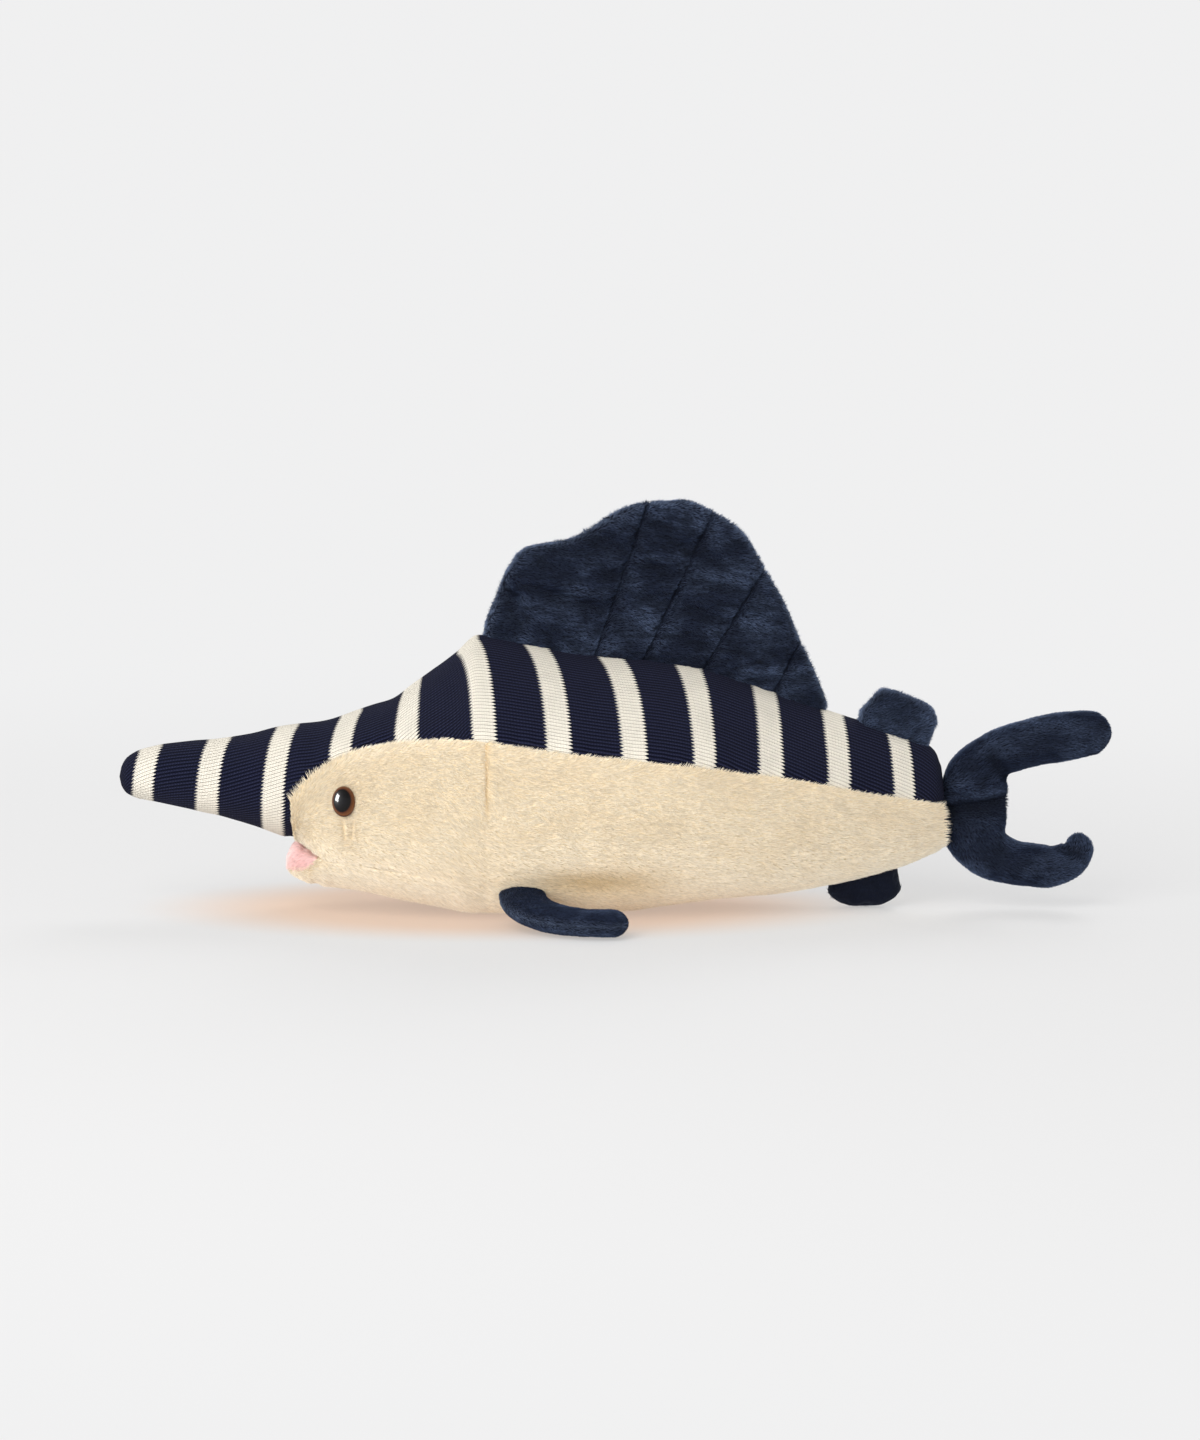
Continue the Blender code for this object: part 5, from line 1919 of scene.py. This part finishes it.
    def _light(
        self, name: str, place: tuple, size: tuple[float, float], power: float, colour: tuple
    ) -> bpy.types.Object:
        """Adds a soft rectangular light that faces the toy, and hands it back."""
        data = bpy.data.lights.new(name, "AREA")
        data.shape = "RECTANGLE"
        data.size, data.size_y = size
        data.energy = power
        data.color = colour
        lamp = in_scene(name, data)
        lamp.location = place
        lamp.rotation_euler = (Vector(self.target) - Vector(place)).to_track_quat("-Z", "Y").to_euler()
        return lamp

    def _sky(self) -> None:
        """Lights the scene evenly from above the wall."""
        world = bpy.data.worlds.new("studio")
        world.use_nodes = True
        world.node_tree.nodes["Background"].inputs["Color"].default_value = (1.0, 1.0, 1.0, 1.0)
        world.node_tree.nodes["Background"].inputs["Strength"].default_value = self.sky
        bpy.context.scene.world = world

    def _camera(self) -> None:
        """Places the camera where the photo was taken from."""
        data = bpy.data.cameras.new("camera")
        data.sensor_width = self.sensor_width
        data.lens = data.sensor_width * self.distance / self.frame_height
        camera = in_scene("camera", data)
        rise = math.radians(self.elevation_degrees)
        back = Vector((0.0, -math.cos(rise), math.sin(rise)))
        camera.location = Vector(self.target) + back * self.distance
        camera.rotation_euler = (-back).to_track_quat("-Z", "Y").to_euler()
        bpy.context.scene.camera = camera
        bpy.context.scene.view_settings.view_transform = "Standard"


SAIL = UprightFin(
    node="sail",
    rays=(
        (-49.5, -48, 103.5), (-47, -43.4, 112.8), (-43, -40.6, 121.2), (-39, -36.8, 128.6), (-34, -31.5, 133.3),
        (-28.5, -21, 134.6), (-22, -11.5, 137.6), (-15.5, 0, 145.6), (-9, 11.5, 149.1), (0, 24, 149.4),
        (8, 35.3, 145.2), (18.5, 46, 137.6), (29.3, 53.9, 124.4), (42, 60.6, 112.8), (55.5, 66.6, 98.6),
        (66, 71.5, 88), (76, 76.4, 75.5),
    ),
    half_thickness=3.2, root_line=FORM.top, root_depth=-4.0, lay=(0.97, 0.0, -0.2), columns=130, rows=46,
    rim_reach=4.0, stitches=(-9.0, 8.0, 29.3, 55.5), stitch_reach=6.0, sway=1.6, wrinkle_depth=0.7,
    wrinkle_size=6.5, wrinkle_stretch=2.6, unrest=0.3,
    folds=(
        (-2, 139, 9, 2.6, 1.1), (20, 143, 11, 2.8, 1.0), (15, 117.6, 8, 2.6, 1.2), (7, 108.5, 8, 2.6, 1.2),
        (44, 107.3, 10, 2.8, 1.2), (51, 89.5, 10, 2.8, 1.1), (-18.9, 113, 10, 3.6, -1.6), (26, 130, 12, 4.0, -1.2),
        (1.5, 122, 8, 3.0, -1.2), (10.5, 125, 9, 2.4, -1.0), (-32, 121, 9, 5.0, 0.9), (36, 118, 9, 3.2, -1.1),
    ),
    stuffing=Stuffing(slack=0.03), calm=0.0, pressed=0.0,
)
SMALL_FIN_STUFFING = Stuffing(pressure=0.5, slack=0.05, most_shift=1.0)
REAR_DORSAL = UprightFin(
    node="rear_dorsal_fin",
    rays=(
        (86.5, 88, 72.6), (89.5, 92.4, 77.2), (93, 96.6, 81.4), (98, 101.4, 80.5), (103, 106.4, 78.6),
        (108, 111.6, 76.4), (110.8, 115.2, 73.6), (112, 116.2, 69.6), (113, 115.4, 65.4),
    ),
    half_thickness=4.6, root_line=FORM.top, root_depth=-4.0, lay=(0.8, 0.0, 0.35), columns=44, rows=26,
    # Much of the rear fin gets the lighter crushed-pile colour: painted sheen along it.
    rim_reach=5.2, lean=-2.5, pressed=0.3, wrinkle_depth=0.4,
    stuffing=SMALL_FIN_STUFFING,
)
ANAL = UprightFin(
    node="anal_fin",
    rays=(
        (77, 76.4, 5.6), (79.5, 79, 2.6), (83, 82.6, 0.4), (88, 88.5, -0.5), (94, 95, -0.4), (99, 100.4, 1.6),
        (101.8, 104, 5), (103, 104.8, 9),
    ),
    half_thickness=4.6, root_line=FORM.bottom, root_depth=4.0, lay=(0.8, 0.0, -0.35), columns=40, rows=22,
    rim_reach=5.2, stuffing=SMALL_FIN_STUFFING,
)


def main() -> None:
    """Builds the toy and its studio, piece by piece."""
    logging.basicConfig(level=logging.INFO, format="%(message)s")
    studio = Studio()
    studio.build()
    made = [KnitCover().build()]
    cream = PileCoat(CREAM_PILE, Slot.CREAM)
    navy = PileCoat(NAVY_PILE, Slot.NAVY)
    pink = PileCoat(PINK_PILE, Slot.PINK)
    body = PlushBody()
    made += [body.build(panel, cream) for panel in Panel]
    made.append(MouthLining().build(body, pink))
    made += [fin.build(navy, 200 + 10 * order) for order, fin in enumerate((SAIL, REAR_DORSAL, ANAL))]
    made.append(Tail().build(navy))
    made += [Pectoral().build(side, navy) for side in Side]
    eyes = [ToyEye().build(side) for side in Side]
    studio.catch_light(eyes)
    for piece in made + eyes:
        log.info("%s: %d faces", piece.name, len(piece.data.polygons))


if __name__ == "__main__":
    main()
